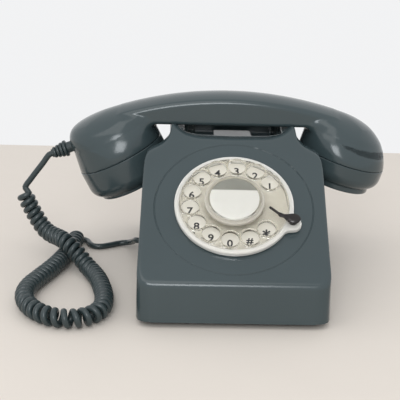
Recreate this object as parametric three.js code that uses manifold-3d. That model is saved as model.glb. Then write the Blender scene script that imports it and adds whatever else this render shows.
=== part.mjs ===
// A rotary telephone: a case with a finger dial and a cradle, a handset and its curly cord.
// Millimetres, +Z up. The front faces -Y, the base rests on Z = 0, and the handset is centred on X = 0.
import * as THREE from 'three';
import { mergeVertices } from 'three/addons/utils/BufferGeometryUtils.js';
import Module from 'manifold-3d';

const wasm = await Module();
wasm.setup();

// ---------------------------------------------------------------- driving sizes
const GAP = 0.3; // between pieces that touch
const RUN = 0.5; // between pieces that move past each other
const OVER = 40; // how far a cutting shape runs past what it cuts
const FILLET_SHARE = 0.46; // the most of an edge that each of its two roundings takes

const CASE = {
  width: 131.4, depth: 210, bottom: 4, wall: 2.5, cornerRadius: 13,
  ridgeY: -102.5, ridgeZ: 30.7, faceSlope: 36, hornTop: 110,
  shoulderZ: 93.9, rearTopY: 57, kneeY: 96, kneeZ: 40, offsetX: 3.3,
};
const CRADLE = {
  hornX: 44.5, valleyZ: 102.8, saddleZ: 108, channelHalf: 35.2, channelFront: 8,
  channelBack: 54, floorZ: 93, padHalf: 14.5, padZ: 99,
};
const HANDSET = {
  y: 29.5, topZ: 130.6, bend: 270, undersideZ: 108.3, gripHalf: 17, gripEdge: 9,
  wall: 3, cupEdge: 12,
};
const MOUTH = { x: -69.1, z: 61.3, tilt: -27, radius: 33.3, seam: 24.2, lip: 1.6 };
const EAR = { x: 81.4, z: 68, tilt: 17, radius: 33.5, seam: 17, lip: 3.6 };
const CAP = { wall: 2.4, edge: 9.5, lipOuter: 27.5, lipInner: 24.3, holeRadius: 1.4 };
const SCOOP = { x: 74.6, clearX: 1.3, clearY: 3, floorZ: 56, floorRise: 0.45, rearX: 47 };
const POCKET = { half: 36, y: 63, low: 66, high: 88 };

const DIAL = {
  along: 62.9, aperture: 38.2, grooveRadius: 54.7, grooveWidth: 1.4, grooveDepth: 0.8,
  bezelOuter: 41, bezelInner: 37.7, bezelTop: 4.5, lugAngle: -21, lugOut: 43, lugRadius: 5.5,
  plateRadius: 37.3, plateTop: 0.8, plateThick: 1.4,
  wheelRadius: 37.2, wheelLow: 4, wheelThick: 2.2, holeCount: 12, holeCircle: 30.5,
  holeRadius: 6.2, firstHole: 35.4, holeStep: 25.46,
  hubRadius: 20.6, hubTop: 10, labelRadius: 16.9, coverRadius: 18.4, coverTop: 11.6,
  stopLow: 7.6, stopThick: 1.5, stopTipRadius: 25.2, stopTipAngle: -15, stopPost: 3.2,
  spindleRadius: 3, frameRadius: 44, cageDepth: 20,
};
const TRAIN = {
  gearTeeth: 56, pinionTeeth: 14, module: 0.75, addendum: 0.6, dedendum: 1.4, toothShare: 0.35,
  gearLow: -9, gearThick: 2, drumRadius: 9, drumLow: -17.5, drumHigh: -10.5,
};
const FOOT = { radius: 7, x: 51, y: 88, stem: 2.9 };
const PLATE = { thick: 2.5 };
const BOSS = { radius: 4.2, frontX: 51, frontY: -70, backX: 52, backY: 70, screw: 1.6, head: 3.4 };
const PLUNGER = { x: 31, halfX: 3, halfY: 5, flange: 1.6, flangeThick: 3, travel: 4 };
const LEVER = { pivotY: 12, pivotZ: 78.6, pin: 1.2, thick: 2.6, halfX: 33.6 };
const GONG = { x: 26, y: 62, radius: 22.4, low: 16, height: 13, shell: 1.6 };
const CLAPPER = { y: 41, z: 23, ball: 2.2, rod: 0.9 };
const JACK = { y: 27, z: 13, halfY: 4.7, halfZ: 3.4, depth: 16 };
const LINE = { x: 40, z: 13, halfX: 5.2, halfZ: 3.8, depth: 12 };
const VOLUME = { x: -30, z: 23, travel: 4, halfX: 2.2, halfZ: 2 };
const BOARD = { z: 12, thick: 1.6, halfX: 44, front: -86, back: -22 };
const CORD = { wire: 4, coil: 13.4, bootTip: 4.2, bootRoot: 6.2 };

// The handset's cord, from the boot to the curls, round the curls, and on to the plug.
const ROUTE_BOOT = [
  [-131.2, 29.5, 80.3], [-133.2, 29.5, 79.4], [-135.6, 29.5, 76.4], [-138.3, 29.5, 72.4],
  [-143.5, 29.7, 65.5], [-148.4, 29.7, 58.8], [-150.8, 29.6, 55.6], [-151.7, 29.5, 53.8],
];
const ROUTE_CURL = [
  [-151.9, 29.5, 53.4], [-152.4, 29.4, 51.6], [-151.2, 28.6, 45.9], [-147.6, 27.5, 38.3],
  [-142.2, 25, 29.4], [-136.6, 21, 23.2], [-130.7, 15.5, 21], [-123.9, 7.5, 21.2], [-118.2, -0.5, 21],
  [-112.6, -6, 17.9], [-107.2, -10, 13.4], [-102.4, -15, 9.2], [-97.3, -22.2, 6.9],
  [-91.4, -37.2, 6.9], [-87.2, -53.6, 6.9], [-84.6, -67.7, 6.9], [-84, -82.1, 6.9],
  [-86.3, -93.2, 6.9], [-91.6, -101, 6.9], [-100.8, -105.6, 6.9], [-112.6, -104.8, 6.9],
  [-122.6, -99, 6.9], [-131.4, -88.8, 6.9], [-137.2, -76.4, 6.9], [-139.2, -62.8, 6.9],
  [-137.7, -50.4, 6.9], [-133.9, -38.1, 6.9], [-129, -23.6, 6.9], [-124.7, -9.6, 6.9],
  [-121.3, 4.6, 6.9], [-118.3, 19.4, 6.9], [-116.6, 34.8, 6.9], [-115.8, 48.6, 6.9],
];
const ROUTE_JACK = [
  [-115.7, 49.5, 6.8], [-115.5, 51.2, 6.2], [-114.9, 53.2, 4.6], [-112.4, 55, 3], [-107.9, 53.2, 2.3],
  [-104.9, 46, 2.3], [-101, 41.6, 2.3], [-95.5, 41.6, 2.3], [-88.6, 45.4, 2.3],
  [-81.6, 49.4, 2.4], [-75.4, 48.6, 3.4], [-71.4, 42.4, 6.4], [-69.4, 34.4, 10.4],
  [-67.8, 29.2, 12.6], [-66.6, 27.4, 13], [-64.5, 27, 13],
];

// ---------------------------------------------------------------- finishes
const finish = (color, roughness, metalness = 0, extra = {}) =>
  new THREE.MeshStandardMaterial({ color, roughness, metalness, ...extra });
const FINISH = {
  greyShell: finish(0x525e61, 0.22),
  greyCord: finish(0x4b5659, 0.38),
  cream: finish(0xe4dfd0, 0.3),
  clear: finish(0xe9e6dc, 0.12, 0, { transparent: true, opacity: 0.4 }),
  card: finish(0xd8d8d4, 0.6),
  chrome: finish(0xd6d8da, 0.12, 1),
  steel: finish(0x9a9ea2, 0.35, 1),
  zinc: finish(0xb3b7b9, 0.4, 1),
  brass: finish(0xb8954a, 0.3, 1),
  copper: finish(0xa8603a, 0.45, 0.6),
  rubber: finish(0x1b1c1d, 0.8),
  blackPlastic: finish(0x202224, 0.5),
  board: finish(0x2f5d3a, 0.5),
};

// ---------------------------------------------------------------- solids
const radians = THREE.MathUtils.degToRad;

/** A closed geometry as a solid, with its shared points merged and its faces pointing out. */
function solid(geometry) {
  const bare = geometry.index ? geometry.toNonIndexed() : geometry.clone();
  bare.deleteAttribute('normal');
  bare.deleteAttribute('uv');
  const merged = mergeVertices(bare, 1e-4);
  const points = merged.getAttribute('position').array;
  const index = merged.index.array;
  const faces = [];
  let volume = 0;
  const corner = (i) => new THREE.Vector3().fromArray(points, 3 * i);
  for (let i = 0; i < index.length; i += 3) {
    const [a, b, c] = [index[i], index[i + 1], index[i + 2]];
    if (a === b || b === c || c === a) continue;
    faces.push(a, b, c);
    volume += corner(a).dot(corner(b).cross(corner(c)));
  }
  if (volume < 0) {
    for (let i = 0; i < faces.length; i += 3) {
      [faces[i], faces[i + 1]] = [faces[i + 1], faces[i]];
    }
  }
  return new wasm.Manifold(new wasm.Mesh({
    numProp: 3,
    vertProperties: new Float32Array(points),
    triVerts: new Uint32Array(faces),
  }));
}

/** A solid back as a flat-shaded geometry. */
function geometryOf(body) {
  const mesh = body.getMesh();
  const geometry = new THREE.BufferGeometry();
  geometry.setAttribute('position', new THREE.BufferAttribute(mesh.vertProperties, 3));
  geometry.setIndex(new THREE.BufferAttribute(mesh.triVerts, 1));
  geometry.computeVertexNormals();
  return geometry;
}

/** Adds a solid to a group as a named mesh. */
function add(group, name, body, material) {
  const mesh = new THREE.Mesh(geometryOf(body), material);
  mesh.name = name;
  group.add(mesh);
  return mesh;
}

const join = (bodies) => bodies.reduce((whole, body) => whole.add(body));
const cut = (body, cutters) => cutters.reduce((left, cutter) => left.subtract(cutter), body);

const AXES = {
  x: new THREE.Matrix4().makeBasis(
    new THREE.Vector3(0, 1, 0), new THREE.Vector3(0, 0, 1), new THREE.Vector3(1, 0, 0)),
  y: new THREE.Matrix4().makeBasis(
    new THREE.Vector3(1, 0, 0), new THREE.Vector3(0, 0, 1), new THREE.Vector3(0, -1, 0)),
  z: new THREE.Matrix4(),
};

/** A shape extruded between two places along an axis: its two coordinates are the other two axes. */
function prism(shape, axis, low, high, curveSegments = 8) {
  const geometry = new THREE.ExtrudeGeometry(shape, {
    depth: high - low, bevelEnabled: false, curveSegments,
  });
  geometry.translate(0, 0, axis === 'y' ? -high : low);
  return solid(geometry.applyMatrix4(AXES[axis]));
}

/** A box from its lowest and highest places along each axis. */
function box([x0, x1], [y0, y1], [z0, z1]) {
  const geometry = new THREE.BoxGeometry(x1 - x0, y1 - y0, z1 - z0);
  geometry.translate((x0 + x1) / 2, (y0 + y1) / 2, (z0 + z1) / 2);
  return solid(geometry);
}

/** A box with the same size each way from a middle in X and Y. */
const block = (x, y, halfX, halfY, low, high) =>
  box([x - halfX, x + halfX], [y - halfY, y + halfY], [low, high]);

/** A body turned about the Z axis, from points of radius and height. */
function turned(profile, segments = 32, x = 0, y = 0) {
  const points = profile.map(([radius, height]) => new THREE.Vector2(radius, height));
  const geometry = new THREE.LatheGeometry(points, segments);
  geometry.rotateX(Math.PI / 2);
  geometry.translate(x, y, 0);
  return solid(geometry);
}

const disc = (radius, low, high, segments = 32, x = 0, y = 0) =>
  turned([[0, low], [radius, low], [radius, high], [0, high]], segments, x, y);
const ring = (outer, inner, low, high, segments = 48) =>
  turned([[inner, low], [outer, low], [outer, high], [inner, high], [inner, low]], segments);

/** The same body with a matrix applied. */
function moved(geometryBody, matrix) {
  return solid(geometryOf(geometryBody).applyMatrix4(matrix));
}

/** Corners of an outline, moved inwards by a distance; the corners run anticlockwise. */
function inwards(corners, distance) {
  const count = corners.length;
  const edge = (i) => {
    const [a, b] = [corners[i % count], corners[(i + 1) % count]];
    const along = new THREE.Vector2(b[0] - a[0], b[1] - a[1]).normalize();
    const from = new THREE.Vector2(a[0] - along.y * distance, a[1] + along.x * distance);
    return { from, along };
  };
  return corners.map((corner, i) => {
    const before = edge(i + count - 1);
    const after = edge(i);
    const cross = before.along.cross(after.along);
    const apart = after.from.clone().sub(before.from);
    const step = apart.cross(after.along) / cross;
    const place = before.from.clone().addScaledVector(before.along, step);
    return [place.x, place.y, corner[2], corner[3]];
  });
}

/** A shape with its corners rounded: each is x, y and how far the rounding starts and ends from it. */
function rounded(corners) {
  const shape = new THREE.Shape();
  const count = corners.length;
  corners.forEach((corner, i) => {
    const at = new THREE.Vector2(corner[0], corner[1]);
    const [lastCorner, nextCorner] = [corners[(i + count - 1) % count], corners[(i + 1) % count]];
    const before = new THREE.Vector2(lastCorner[0], lastCorner[1]);
    const after = new THREE.Vector2(nextCorner[0], nextCorner[1]);
    const room = (other, far) => (other[2] ? FILLET_SHARE : 2 * FILLET_SHARE) * at.distanceTo(far);
    const [wanted, wantedAfter] = [corner[2] ?? 0, corner[3] ?? corner[2] ?? 0];
    const start = Math.min(wanted, room(lastCorner, before));
    const end = Math.min(wantedAfter, room(nextCorner, after));
    const enter = at.clone().add(before.sub(at).setLength(start));
    const leave = at.clone().add(after.sub(at).setLength(end));
    if (i === 0) shape.moveTo(enter.x, enter.y);
    else shape.lineTo(enter.x, enter.y);
    if (start > 0) shape.quadraticCurveTo(at.x, at.y, leave.x, leave.y);
  });
  shape.closePath();
  return shape;
}

/** A round tube along points, closed at both ends. */
function tube(points, diameter, sides, steps) {
  const path = new THREE.CatmullRomCurve3(
    points.map((point) => new THREE.Vector3(...point)), false, 'centripetal');
  const section = new THREE.Shape();
  for (let i = 0; i < sides; i += 1) {
    const angle = (2 * Math.PI * i) / sides;
    const [x, y] = [Math.cos(angle) * diameter / 2, Math.sin(angle) * diameter / 2];
    if (i === 0) section.moveTo(x, y);
    else section.lineTo(x, y);
  }
  section.closePath();
  return solid(new THREE.ExtrudeGeometry(section, { extrudePath: path, steps, bevelEnabled: false }));
}

// ---------------------------------------------------------------- case
const slope = radians(CASE.faceSlope);
const halfWidth = CASE.width / 2;
const halfDepth = CASE.depth / 2;
const faceZ = (y) => CASE.ridgeZ + (y - CASE.ridgeY) * Math.tan(slope);
const backY = (z) => halfDepth - GAP
  - ((z - CASE.bottom) * (halfDepth - CASE.kneeY)) / (CASE.kneeZ - CASE.bottom);
const faceY = (z) => CASE.ridgeY + (z - CASE.ridgeZ) / Math.tan(slope);

/** The case's outer form, or the same form with every wall moved inwards. */
function caseForm(inset) {
  const below = CASE.bottom - OVER;
  const frontRun = (CASE.ridgeY + halfDepth) / (CASE.ridgeZ - CASE.bottom);
  const side = inwards([
    [CASE.ridgeY + GAP - frontRun * (CASE.ridgeZ - below), below],
    [halfDepth + frontRun, below],
    [halfDepth - GAP, CASE.bottom],
    [CASE.kneeY, CASE.kneeZ, 12],
    [CASE.rearTopY, CASE.hornTop + 0.5, 6],
    [faceY(CASE.hornTop + 0.5), CASE.hornTop + 0.5],
    [CASE.ridgeY + GAP, CASE.ridgeZ, 3],
  ], inset);

  const edge = halfWidth + 0.5;
  const rise = 3.8;
  const half = [
    [edge, below], [halfWidth - 1, CASE.shoulderZ, 9], [50, CASE.shoulderZ + 6, 2.4],
    [CRADLE.hornX + 1.6, CASE.shoulderZ + 6 + rise, 2], [CRADLE.hornX, CASE.hornTop + 1.2, 1.6],
    [36, CRADLE.valleyZ + 2.7, 4.2], [26, CRADLE.valleyZ + 0.5, 4.6],
  ];
  const mirrored = half.slice().reverse().map(([x, z, r]) => [-x, z, r]);
  const front = inwards([...half, [0, CRADLE.valleyZ], ...mirrored], inset);

  const r = CASE.cornerRadius - inset;
  const [w, d] = [halfWidth - inset, halfDepth - inset];
  const plan = prism(rounded([[-w, -d, r], [w, -d, r], [w, d, r], [-w, d, r]]), 'z', below, 130);
  const drafted = geometryOf(plan);
  const place = drafted.getAttribute('position');
  for (let i = 0; i < place.count; i += 1) {
    const up = Math.max(0, place.getZ(i) - CASE.bottom);
    place.setX(i, place.getX(i) * (1 - 0.00029 * up));
  }

  const scoopX = MOUTH.radius + SCOOP.clearX + inset;
  const scoopY = MOUTH.radius + SCOOP.clearY + inset;
  const scoops = [-1, 1].map((way) => {
    const well = new THREE.CylinderGeometry(1, 1, 2 * OVER + 60, 48);
    well.rotateX(Math.PI / 2);
    well.scale(scoopX, scoopY, 1);
    well.translate(way * SCOOP.x, HANDSET.y, 90);
    const floor = SCOOP.floorZ - inset;
    const above = new THREE.Shape();
    above.moveTo(way * 20, floor + SCOOP.floorRise * (halfWidth - 20));
    above.lineTo(way * 120, floor + SCOOP.floorRise * (halfWidth - 120));
    above.lineTo(way * 120, 140);
    above.lineTo(way * 20, 140);
    above.closePath();
    const sides = [way * (SCOOP.rearX - inset), way * 130].sort((a, b) => a - b);
    const rear = box(sides, [HANDSET.y, 130], [0, 160]);
    return solid(well).add(rear).intersect(prism(above, 'y', -OVER, 130));
  });

  const body = prism(rounded(side), 'x', -90, 90)
    .intersect(prism(rounded(front), 'y', -120, 120, 5))
    .intersect(solid(drafted));
  return cut(body, [
    ...scoops,
    box([-CRADLE.channelHalf - inset, CRADLE.channelHalf + inset],
      [CRADLE.channelFront - inset, CRADLE.channelBack + inset], [CRADLE.floorZ - inset, 140]),
    box([-POCKET.half - inset, POCKET.half + inset], [POCKET.y - inset, 130],
      [POCKET.low - inset, POCKET.high + inset]),
  ]);
}

const dialPlace = new THREE.Vector3(
  0,
  CASE.ridgeY + DIAL.along * Math.cos(slope),
  CASE.ridgeZ + DIAL.along * Math.sin(slope),
);
const dialMatrix = new THREE.Matrix4().makeRotationX(slope).setPosition(dialPlace);

const screwPlaces = [
  [-BOSS.frontX, BOSS.frontY], [BOSS.frontX, BOSS.frontY],
  [-BOSS.backX, BOSS.backY], [BOSS.backX, BOSS.backY],
];
const footPlaces = [
  ['front_left', -1, -1], ['front_right', 1, -1], ['rear_left', -1, 1], ['rear_right', 1, 1],
];
const plateTop = CASE.bottom + PLATE.thick;

function makeCase() {
  const bosses = join(screwPlaces.map(([x, y]) => disc(BOSS.radius, plateTop + GAP, 90, 16, x, y)))
    .intersect(caseForm(CASE.wall / 2));
  const pad = box([-CRADLE.padHalf, CRADLE.padHalf], [HANDSET.y - 11, HANDSET.y + 11],
    [CRADLE.floorZ - CASE.wall / 2, CRADLE.padZ]);
  const groove = moved(
    ring(DIAL.grooveRadius + DIAL.grooveWidth / 2, DIAL.grooveRadius - DIAL.grooveWidth / 2,
      -DIAL.grooveDepth, 5, 64), dialMatrix);
  const aperture = moved(disc(DIAL.aperture, -20, 20, 48), dialMatrix);
  const gripSpace = box([-70, 70], [HANDSET.y - HANDSET.gripHalf - 1, HANDSET.y + HANDSET.gripHalf + 1],
    [CRADLE.saddleZ, 140]);
  const reach = PLUNGER.flange;
  const slots = [-1, 1].map((way) => block(way * PLUNGER.x, HANDSET.y, PLUNGER.halfX + RUN,
    PLUNGER.halfY + RUN, CRADLE.floorZ - 2 * CASE.wall, CRADLE.floorZ + reach));
  const backWall = [halfDepth - 12, halfDepth + 10];
  const jackHole = box([-halfWidth - 10, -halfWidth + 10],
    [JACK.y - JACK.halfY - GAP, JACK.y + JACK.halfY + GAP],
    [JACK.z - JACK.halfZ - GAP, JACK.z + JACK.halfZ + GAP]);
  const lineHole = box([LINE.x - LINE.halfX, LINE.x + LINE.halfX], backWall,
    [LINE.z - LINE.halfZ, LINE.z + LINE.halfZ]);
  const volumeSlot = box(
    [VOLUME.x - VOLUME.halfX - VOLUME.travel - RUN, VOLUME.x + VOLUME.halfX + VOLUME.travel + RUN],
    backWall, [VOLUME.z - VOLUME.halfZ - RUN, VOLUME.z + VOLUME.halfZ + RUN]);
  const pilots = screwPlaces.map(([x, y]) => disc(BOSS.screw + GAP, 0, 21, 12, x, y));
  const ground = box([-100, 100], [-130, 130], [-OVER * 2, CASE.bottom]);
  return cut(caseForm(0).subtract(caseForm(CASE.wall)).add(bosses).add(pad),
    [groove, aperture, gripSpace, ...slots, jackHole, lineHole, volumeSlot, ...pilots, ground]);
}

/** The space inside the case, low down, for what stands on the base plate. */
function floorShape(clearance) {
  const r = CASE.cornerRadius - clearance;
  const [w, d] = [halfWidth - clearance, halfDepth - clearance];
  return rounded([[-w, -d, r], [w, -d, r], [w, d, r], [-w, d, r]]);
}

function addBase(group) {
  const plate = prism(floorShape(CASE.wall + 2 * GAP + 1), 'z', CASE.bottom, plateTop);
  const feet = footPlaces.map(([name, x, y]) => [name, x * FOOT.x, y * FOOT.y]);
  const standoffs = [-1, 1].flatMap((x) => [BOARD.front + 6, BOARD.back - 6].map((y) =>
    disc(2.6, plateTop - 0.5, BOARD.z - GAP, 12, x * (BOARD.halfX - 6), y)));
  add(group, 'base_plate', cut(plate, [
    ...feet.map(([, x, y]) => disc(FOOT.stem + GAP, 0, 10, 16, x, y)),
    ...screwPlaces.map(([x, y]) => disc(BOSS.screw + GAP, 0, 10, 12, x, y)),
    ...screwPlaces.map(([x, y]) => disc(BOSS.head + GAP, 0, CASE.bottom + 1.2, 16, x, y)),
  ]).add(join(standoffs)), FINISH.zinc);

  feet.forEach(([name, x, y]) => {
    add(group, `foot_${name}`, turned([
      [0, 0], [FOOT.radius - 1, 0], [FOOT.radius, 1], [FOOT.radius, CASE.bottom - GAP],
      [FOOT.stem, CASE.bottom - GAP], [FOOT.stem, plateTop + 1.6], [0, plateTop + 1.6],
    ], 20, x, y), FINISH.rubber);
  });
  screwPlaces.forEach(([x, y], i) => {
    const head = CASE.bottom + 1.2 - GAP;
    add(group, `case_screw_${i + 1}`, turned([
      [0, head - 1.1], [BOSS.head, head - 1.1], [BOSS.head, head], [BOSS.screw, head],
      [BOSS.screw, 19], [0, 20],
    ], 12, x, y), FINISH.steel);
  });
}

// ---------------------------------------------------------------- dial
const onDial = (radius, degrees) =>
  [radius * Math.cos(radians(degrees)), radius * Math.sin(radians(degrees))];

/** A gear's outline with plain tapered teeth; turn is in pitches. */
function gearShape(teeth, turn) {
  const pitchRadius = (teeth * TRAIN.module) / 2;
  const pitch = (2 * Math.PI) / teeth;
  const share = TRAIN.toothShare;
  const [tip, root] = [pitchRadius + TRAIN.addendum, pitchRadius - TRAIN.dedendum];
  const shape = new THREE.Shape();
  for (let i = 0; i < teeth; i += 1) {
    const middle = (i + turn) * pitch;
    [[root, -0.5], [tip, -0.25], [tip, 0.25], [root, 0.5]].forEach(([radius, side], k) => {
      const angle = middle + 2 * side * share * pitch * (radius === tip ? 0.7 : 1);
      const [x, y] = [radius * Math.cos(angle), radius * Math.sin(angle)];
      if (i === 0 && k === 0) shape.moveTo(x, y);
      else shape.lineTo(x, y);
    });
  }
  shape.closePath();
  return shape;
}

function addDial(group) {
  const frame = new THREE.Group();
  frame.position.copy(dialPlace);
  frame.rotation.x = slope;
  group.add(frame);

  const [lugX, lugY] = onDial(DIAL.lugOut, DIAL.lugAngle);
  const bezel = turned([
    [DIAL.bezelInner, GAP], [DIAL.bezelOuter, GAP], [DIAL.bezelOuter, DIAL.bezelTop - 1.4],
    [DIAL.bezelOuter - 0.5, DIAL.bezelTop - 0.4], [DIAL.bezelOuter - 1.6, DIAL.bezelTop],
    [DIAL.bezelInner, DIAL.bezelTop], [DIAL.bezelInner, GAP],
  ], 48);
  const lug = disc(DIAL.lugRadius, GAP, DIAL.bezelTop, 24, lugX, lugY)
    .subtract(disc(DIAL.bezelInner, -1, 10, 48));
  add(frame, 'dial_bezel', bezel.add(lug), FINISH.cream);

  add(frame, 'number_plate', disc(DIAL.plateRadius, DIAL.plateTop - DIAL.plateThick, DIAL.plateTop, 48)
    .subtract(disc(DIAL.spindleRadius + RUN, -5, 5, 24)), FINISH.cream);

  const holes = Array.from({ length: DIAL.holeCount }, (_, i) => {
    const [x, y] = onDial(DIAL.holeCircle, DIAL.firstHole + i * DIAL.holeStep);
    return disc(DIAL.holeRadius, -1, 12, 20, x, y);
  });
  const wheelTop = DIAL.wheelLow + DIAL.wheelThick;
  add(frame, 'finger_wheel', cut(turned([
    [0, DIAL.wheelLow], [DIAL.wheelRadius - 0.6, DIAL.wheelLow],
    [DIAL.wheelRadius, DIAL.wheelLow + 0.6], [DIAL.wheelRadius, wheelTop - 0.6],
    [DIAL.wheelRadius - 0.6, wheelTop], [0, wheelTop],
  ], 60), holes), FINISH.clear);
  add(frame, 'dial_hub', turned([
    [0, wheelTop + GAP], [DIAL.hubRadius, wheelTop + GAP], [DIAL.hubRadius, DIAL.hubTop - 0.8],
    [DIAL.hubRadius - 0.8, DIAL.hubTop], [DIAL.labelRadius + GAP, DIAL.hubTop],
    [DIAL.labelRadius + GAP, DIAL.hubTop - 1], [0, DIAL.hubTop - 1],
  ], 48), FINISH.cream);
  add(frame, 'label_card', disc(DIAL.labelRadius, DIAL.hubTop - 0.7, DIAL.hubTop, 40), FINISH.card);
  add(frame, 'label_cover', turned([
    [0, DIAL.hubTop + GAP], [DIAL.coverRadius, DIAL.hubTop + GAP],
    [DIAL.coverRadius, DIAL.coverTop - 0.6], [DIAL.coverRadius - 0.6, DIAL.coverTop],
    [0, DIAL.coverTop],
  ], 40), FINISH.clear);

  const gearTop = TRAIN.gearLow + TRAIN.gearThick;
  const bottom = -DIAL.cageDepth;
  add(frame, 'dial_spindle', turned([
    [0, bottom + 0.6], [DIAL.spindleRadius, bottom + 0.6], [DIAL.spindleRadius, TRAIN.gearLow - 1],
    [DIAL.spindleRadius + 2, TRAIN.gearLow - 1], [DIAL.spindleRadius + 2, TRAIN.gearLow - GAP],
    [DIAL.spindleRadius, TRAIN.gearLow - GAP], [DIAL.spindleRadius, DIAL.wheelLow - GAP],
    [0, DIAL.wheelLow - GAP],
  ], 24), FINISH.steel);
  add(frame, 'main_gear', prism(gearShape(TRAIN.gearTeeth, 0.5), 'z', TRAIN.gearLow, gearTop)
    .subtract(disc(DIAL.spindleRadius + GAP, -30, 10, 24)), FINISH.brass);

  const between = ((TRAIN.gearTeeth + TRAIN.pinionTeeth) * TRAIN.module) / 2;
  const governor = new THREE.Group();
  governor.position.set(0, between, 0);
  frame.add(governor);
  const pinion = prism(gearShape(TRAIN.pinionTeeth, 0.5), 'z', TRAIN.gearLow - 0.5, gearTop + 0.5);
  const drum = turned([
    [0, bottom + 0.6], [1.2, bottom + 0.6], [1.2, TRAIN.drumLow], [TRAIN.drumRadius, TRAIN.drumLow],
    [TRAIN.drumRadius, TRAIN.drumHigh], [1.8, TRAIN.drumHigh], [1.8, gearTop + 1], [1.2, gearTop + 1],
    [1.2, -4.8], [0, -4.8],
  ], 24);
  add(governor, 'governor', pinion.add(drum), FINISH.brass);

  const pillars = [30, 150, 270].map((angle) => {
    const [x, y] = onDial(33, angle);
    return disc(1.8, bottom - 1, -4, 12, x, y);
  });
  const axleHoles = [
    disc(DIAL.spindleRadius + RUN, -6, 0, 24), disc(1.2 + RUN, -6, 0, 12, 0, between)];
  const cage = disc(36, bottom - 1.6, bottom, 32).add(disc(DIAL.frameRadius, -4.5, -2.5 - GAP, 48));
  add(frame, 'dial_frame', cut(join([cage, ...pillars]), axleHoles), FINISH.zinc);

  add(frame, 'return_spring', ring(13, 6.5, -16.5, -12, 32), FINISH.steel);
  const [contactX, contactY] = onDial(27, 210);
  add(frame, 'impulse_contacts',
    block(contactX, contactY, 5, 3.5, bottom + GAP, -11)
      .add(block(contactX + 5, contactY, 4, 0.4, -15, -12)), FINISH.blackPlastic);

  const [tipX, tipY] = onDial(DIAL.stopTipRadius, DIAL.stopTipAngle);
  const blade = bladeShape([lugX, lugY], [tipX, tipY]);
  const stopTop = DIAL.stopLow + DIAL.stopThick;
  add(frame, 'finger_stop', join([
    prism(blade, 'z', DIAL.stopLow, stopTop, 10),
    disc(DIAL.stopPost, DIAL.bezelTop + GAP, stopTop - 0.5, 18, lugX, lugY),
    turned([[0, DIAL.stopLow], [4, DIAL.stopLow], [4, stopTop + 0.6], [2.8, stopTop + 1.6],
      [0, stopTop + 1.9]], 20, lugX, lugY),
  ]), FINISH.chrome);
}

/** The stop's blade: round at its post and narrow at its tip. */
function bladeShape([postX, postY], [tipX, tipY]) {
  const along = new THREE.Vector2(tipX - postX, tipY - postY);
  const angle = along.angle();
  const reach = along.length();
  const shape = new THREE.Shape();
  const place = (x, y) => {
    const point = new THREE.Vector2(x, y).rotateAround(new THREE.Vector2(), angle);
    return [point.x + postX, point.y + postY];
  };
  shape.moveTo(...place(0, -3.4));
  shape.quadraticCurveTo(...place(reach * 0.5, -2.2), ...place(reach - 0.8, -0.8));
  shape.quadraticCurveTo(...place(reach, 0), ...place(reach - 0.8, 0.8));
  shape.quadraticCurveTo(...place(reach * 0.5, 2.2), ...place(0, 3.4));
  shape.closePath();
  return shape;
}

// ---------------------------------------------------------------- cradle switch
function addHookSwitch(group) {
  const flangeTop = CRADLE.floorZ - CASE.wall - PLUNGER.travel - RUN;
  const flangeLow = flangeTop - PLUNGER.flangeThick;
  [['left', -1], ['right', 1]].forEach(([name, way]) => {
    const x = way * PLUNGER.x;
    const top = CRADLE.saddleZ;
    add(group, `hook_plunger_${name}`, join([
      block(x, HANDSET.y, PLUNGER.halfX, PLUNGER.halfY, flangeLow + 0.5, top),
      block(x, HANDSET.y, PLUNGER.halfX + PLUNGER.flange, PLUNGER.halfY + PLUNGER.flange,
        flangeLow, flangeTop),
    ]), FINISH.clear);
  });

  const armTop = flangeLow - 1;
  const barTop = armTop;
  const lever = new THREE.Group();
  lever.position.set(0, LEVER.pivotY, LEVER.pivotZ);
  group.add(lever);
  const rise = barTop - LEVER.pivotZ;
  const hookReach = HANDSET.y - LEVER.pivotY;
  const pivotBore = new THREE.CylinderGeometry(LEVER.pin + 0.2, LEVER.pin + 0.2, 90, 16);
  pivotBore.rotateZ(Math.PI / 2);
  add(lever, 'hook_lever', cut(join([
    box([-LEVER.halfX, LEVER.halfX], [-3, 3], [rise - LEVER.thick - 1.4, rise]),
    ...[-1, 1].map((way) => block(way * (LEVER.halfX - 4), hookReach / 2, 3.5, hookReach / 2 + 1,
      rise - LEVER.thick, rise - 0.1)),
  ]), [solid(pivotBore)]), FINISH.steel);

  const pin = new THREE.CylinderGeometry(LEVER.pin, LEVER.pin, 2 * LEVER.halfX + 6, 16);
  pin.rotateZ(Math.PI / 2);
  add(lever, 'hook_pin', solid(pin), FINISH.steel);

  const [near, far] = [LEVER.halfX + RUN, LEVER.halfX + RUN + 1.5];
  const shelfZ = 62;
  const uprights = [-1, 1].map((way) => box(
    way < 0 ? [-far, -near] : [near, far], [LEVER.pivotY - 6, LEVER.pivotY + 6],
    [plateTop + GAP, LEVER.pivotZ + 4]));
  const shelf = box([-far, far], [LEVER.pivotY - 6, LEVER.pivotY + 20], [shelfZ, shelfZ + 1.6]);
  const flange = box([-far, far], [LEVER.pivotY - 6, LEVER.pivotY + 6],
    [plateTop + GAP, plateTop + GAP + 1.6]);
  const pinBore = new THREE.CylinderGeometry(LEVER.pin + GAP, LEVER.pin + GAP, 90, 16);
  pinBore.rotateZ(Math.PI / 2);
  pinBore.translate(0, LEVER.pivotY, LEVER.pivotZ);
  add(group, 'hook_frame', cut(join([...uprights, shelf, flange]), [solid(pinBore)]), FINISH.zinc);
  add(group, 'hook_switch', block(0, LEVER.pivotY + 10, 10, 6, shelfZ + 1.6 + GAP, shelfZ + 11)
    .add(block(4, LEVER.pivotY + 10, 1.5, 2, shelfZ + 10, shelfZ + 12.6)), FINISH.blackPlastic);
}

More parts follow.
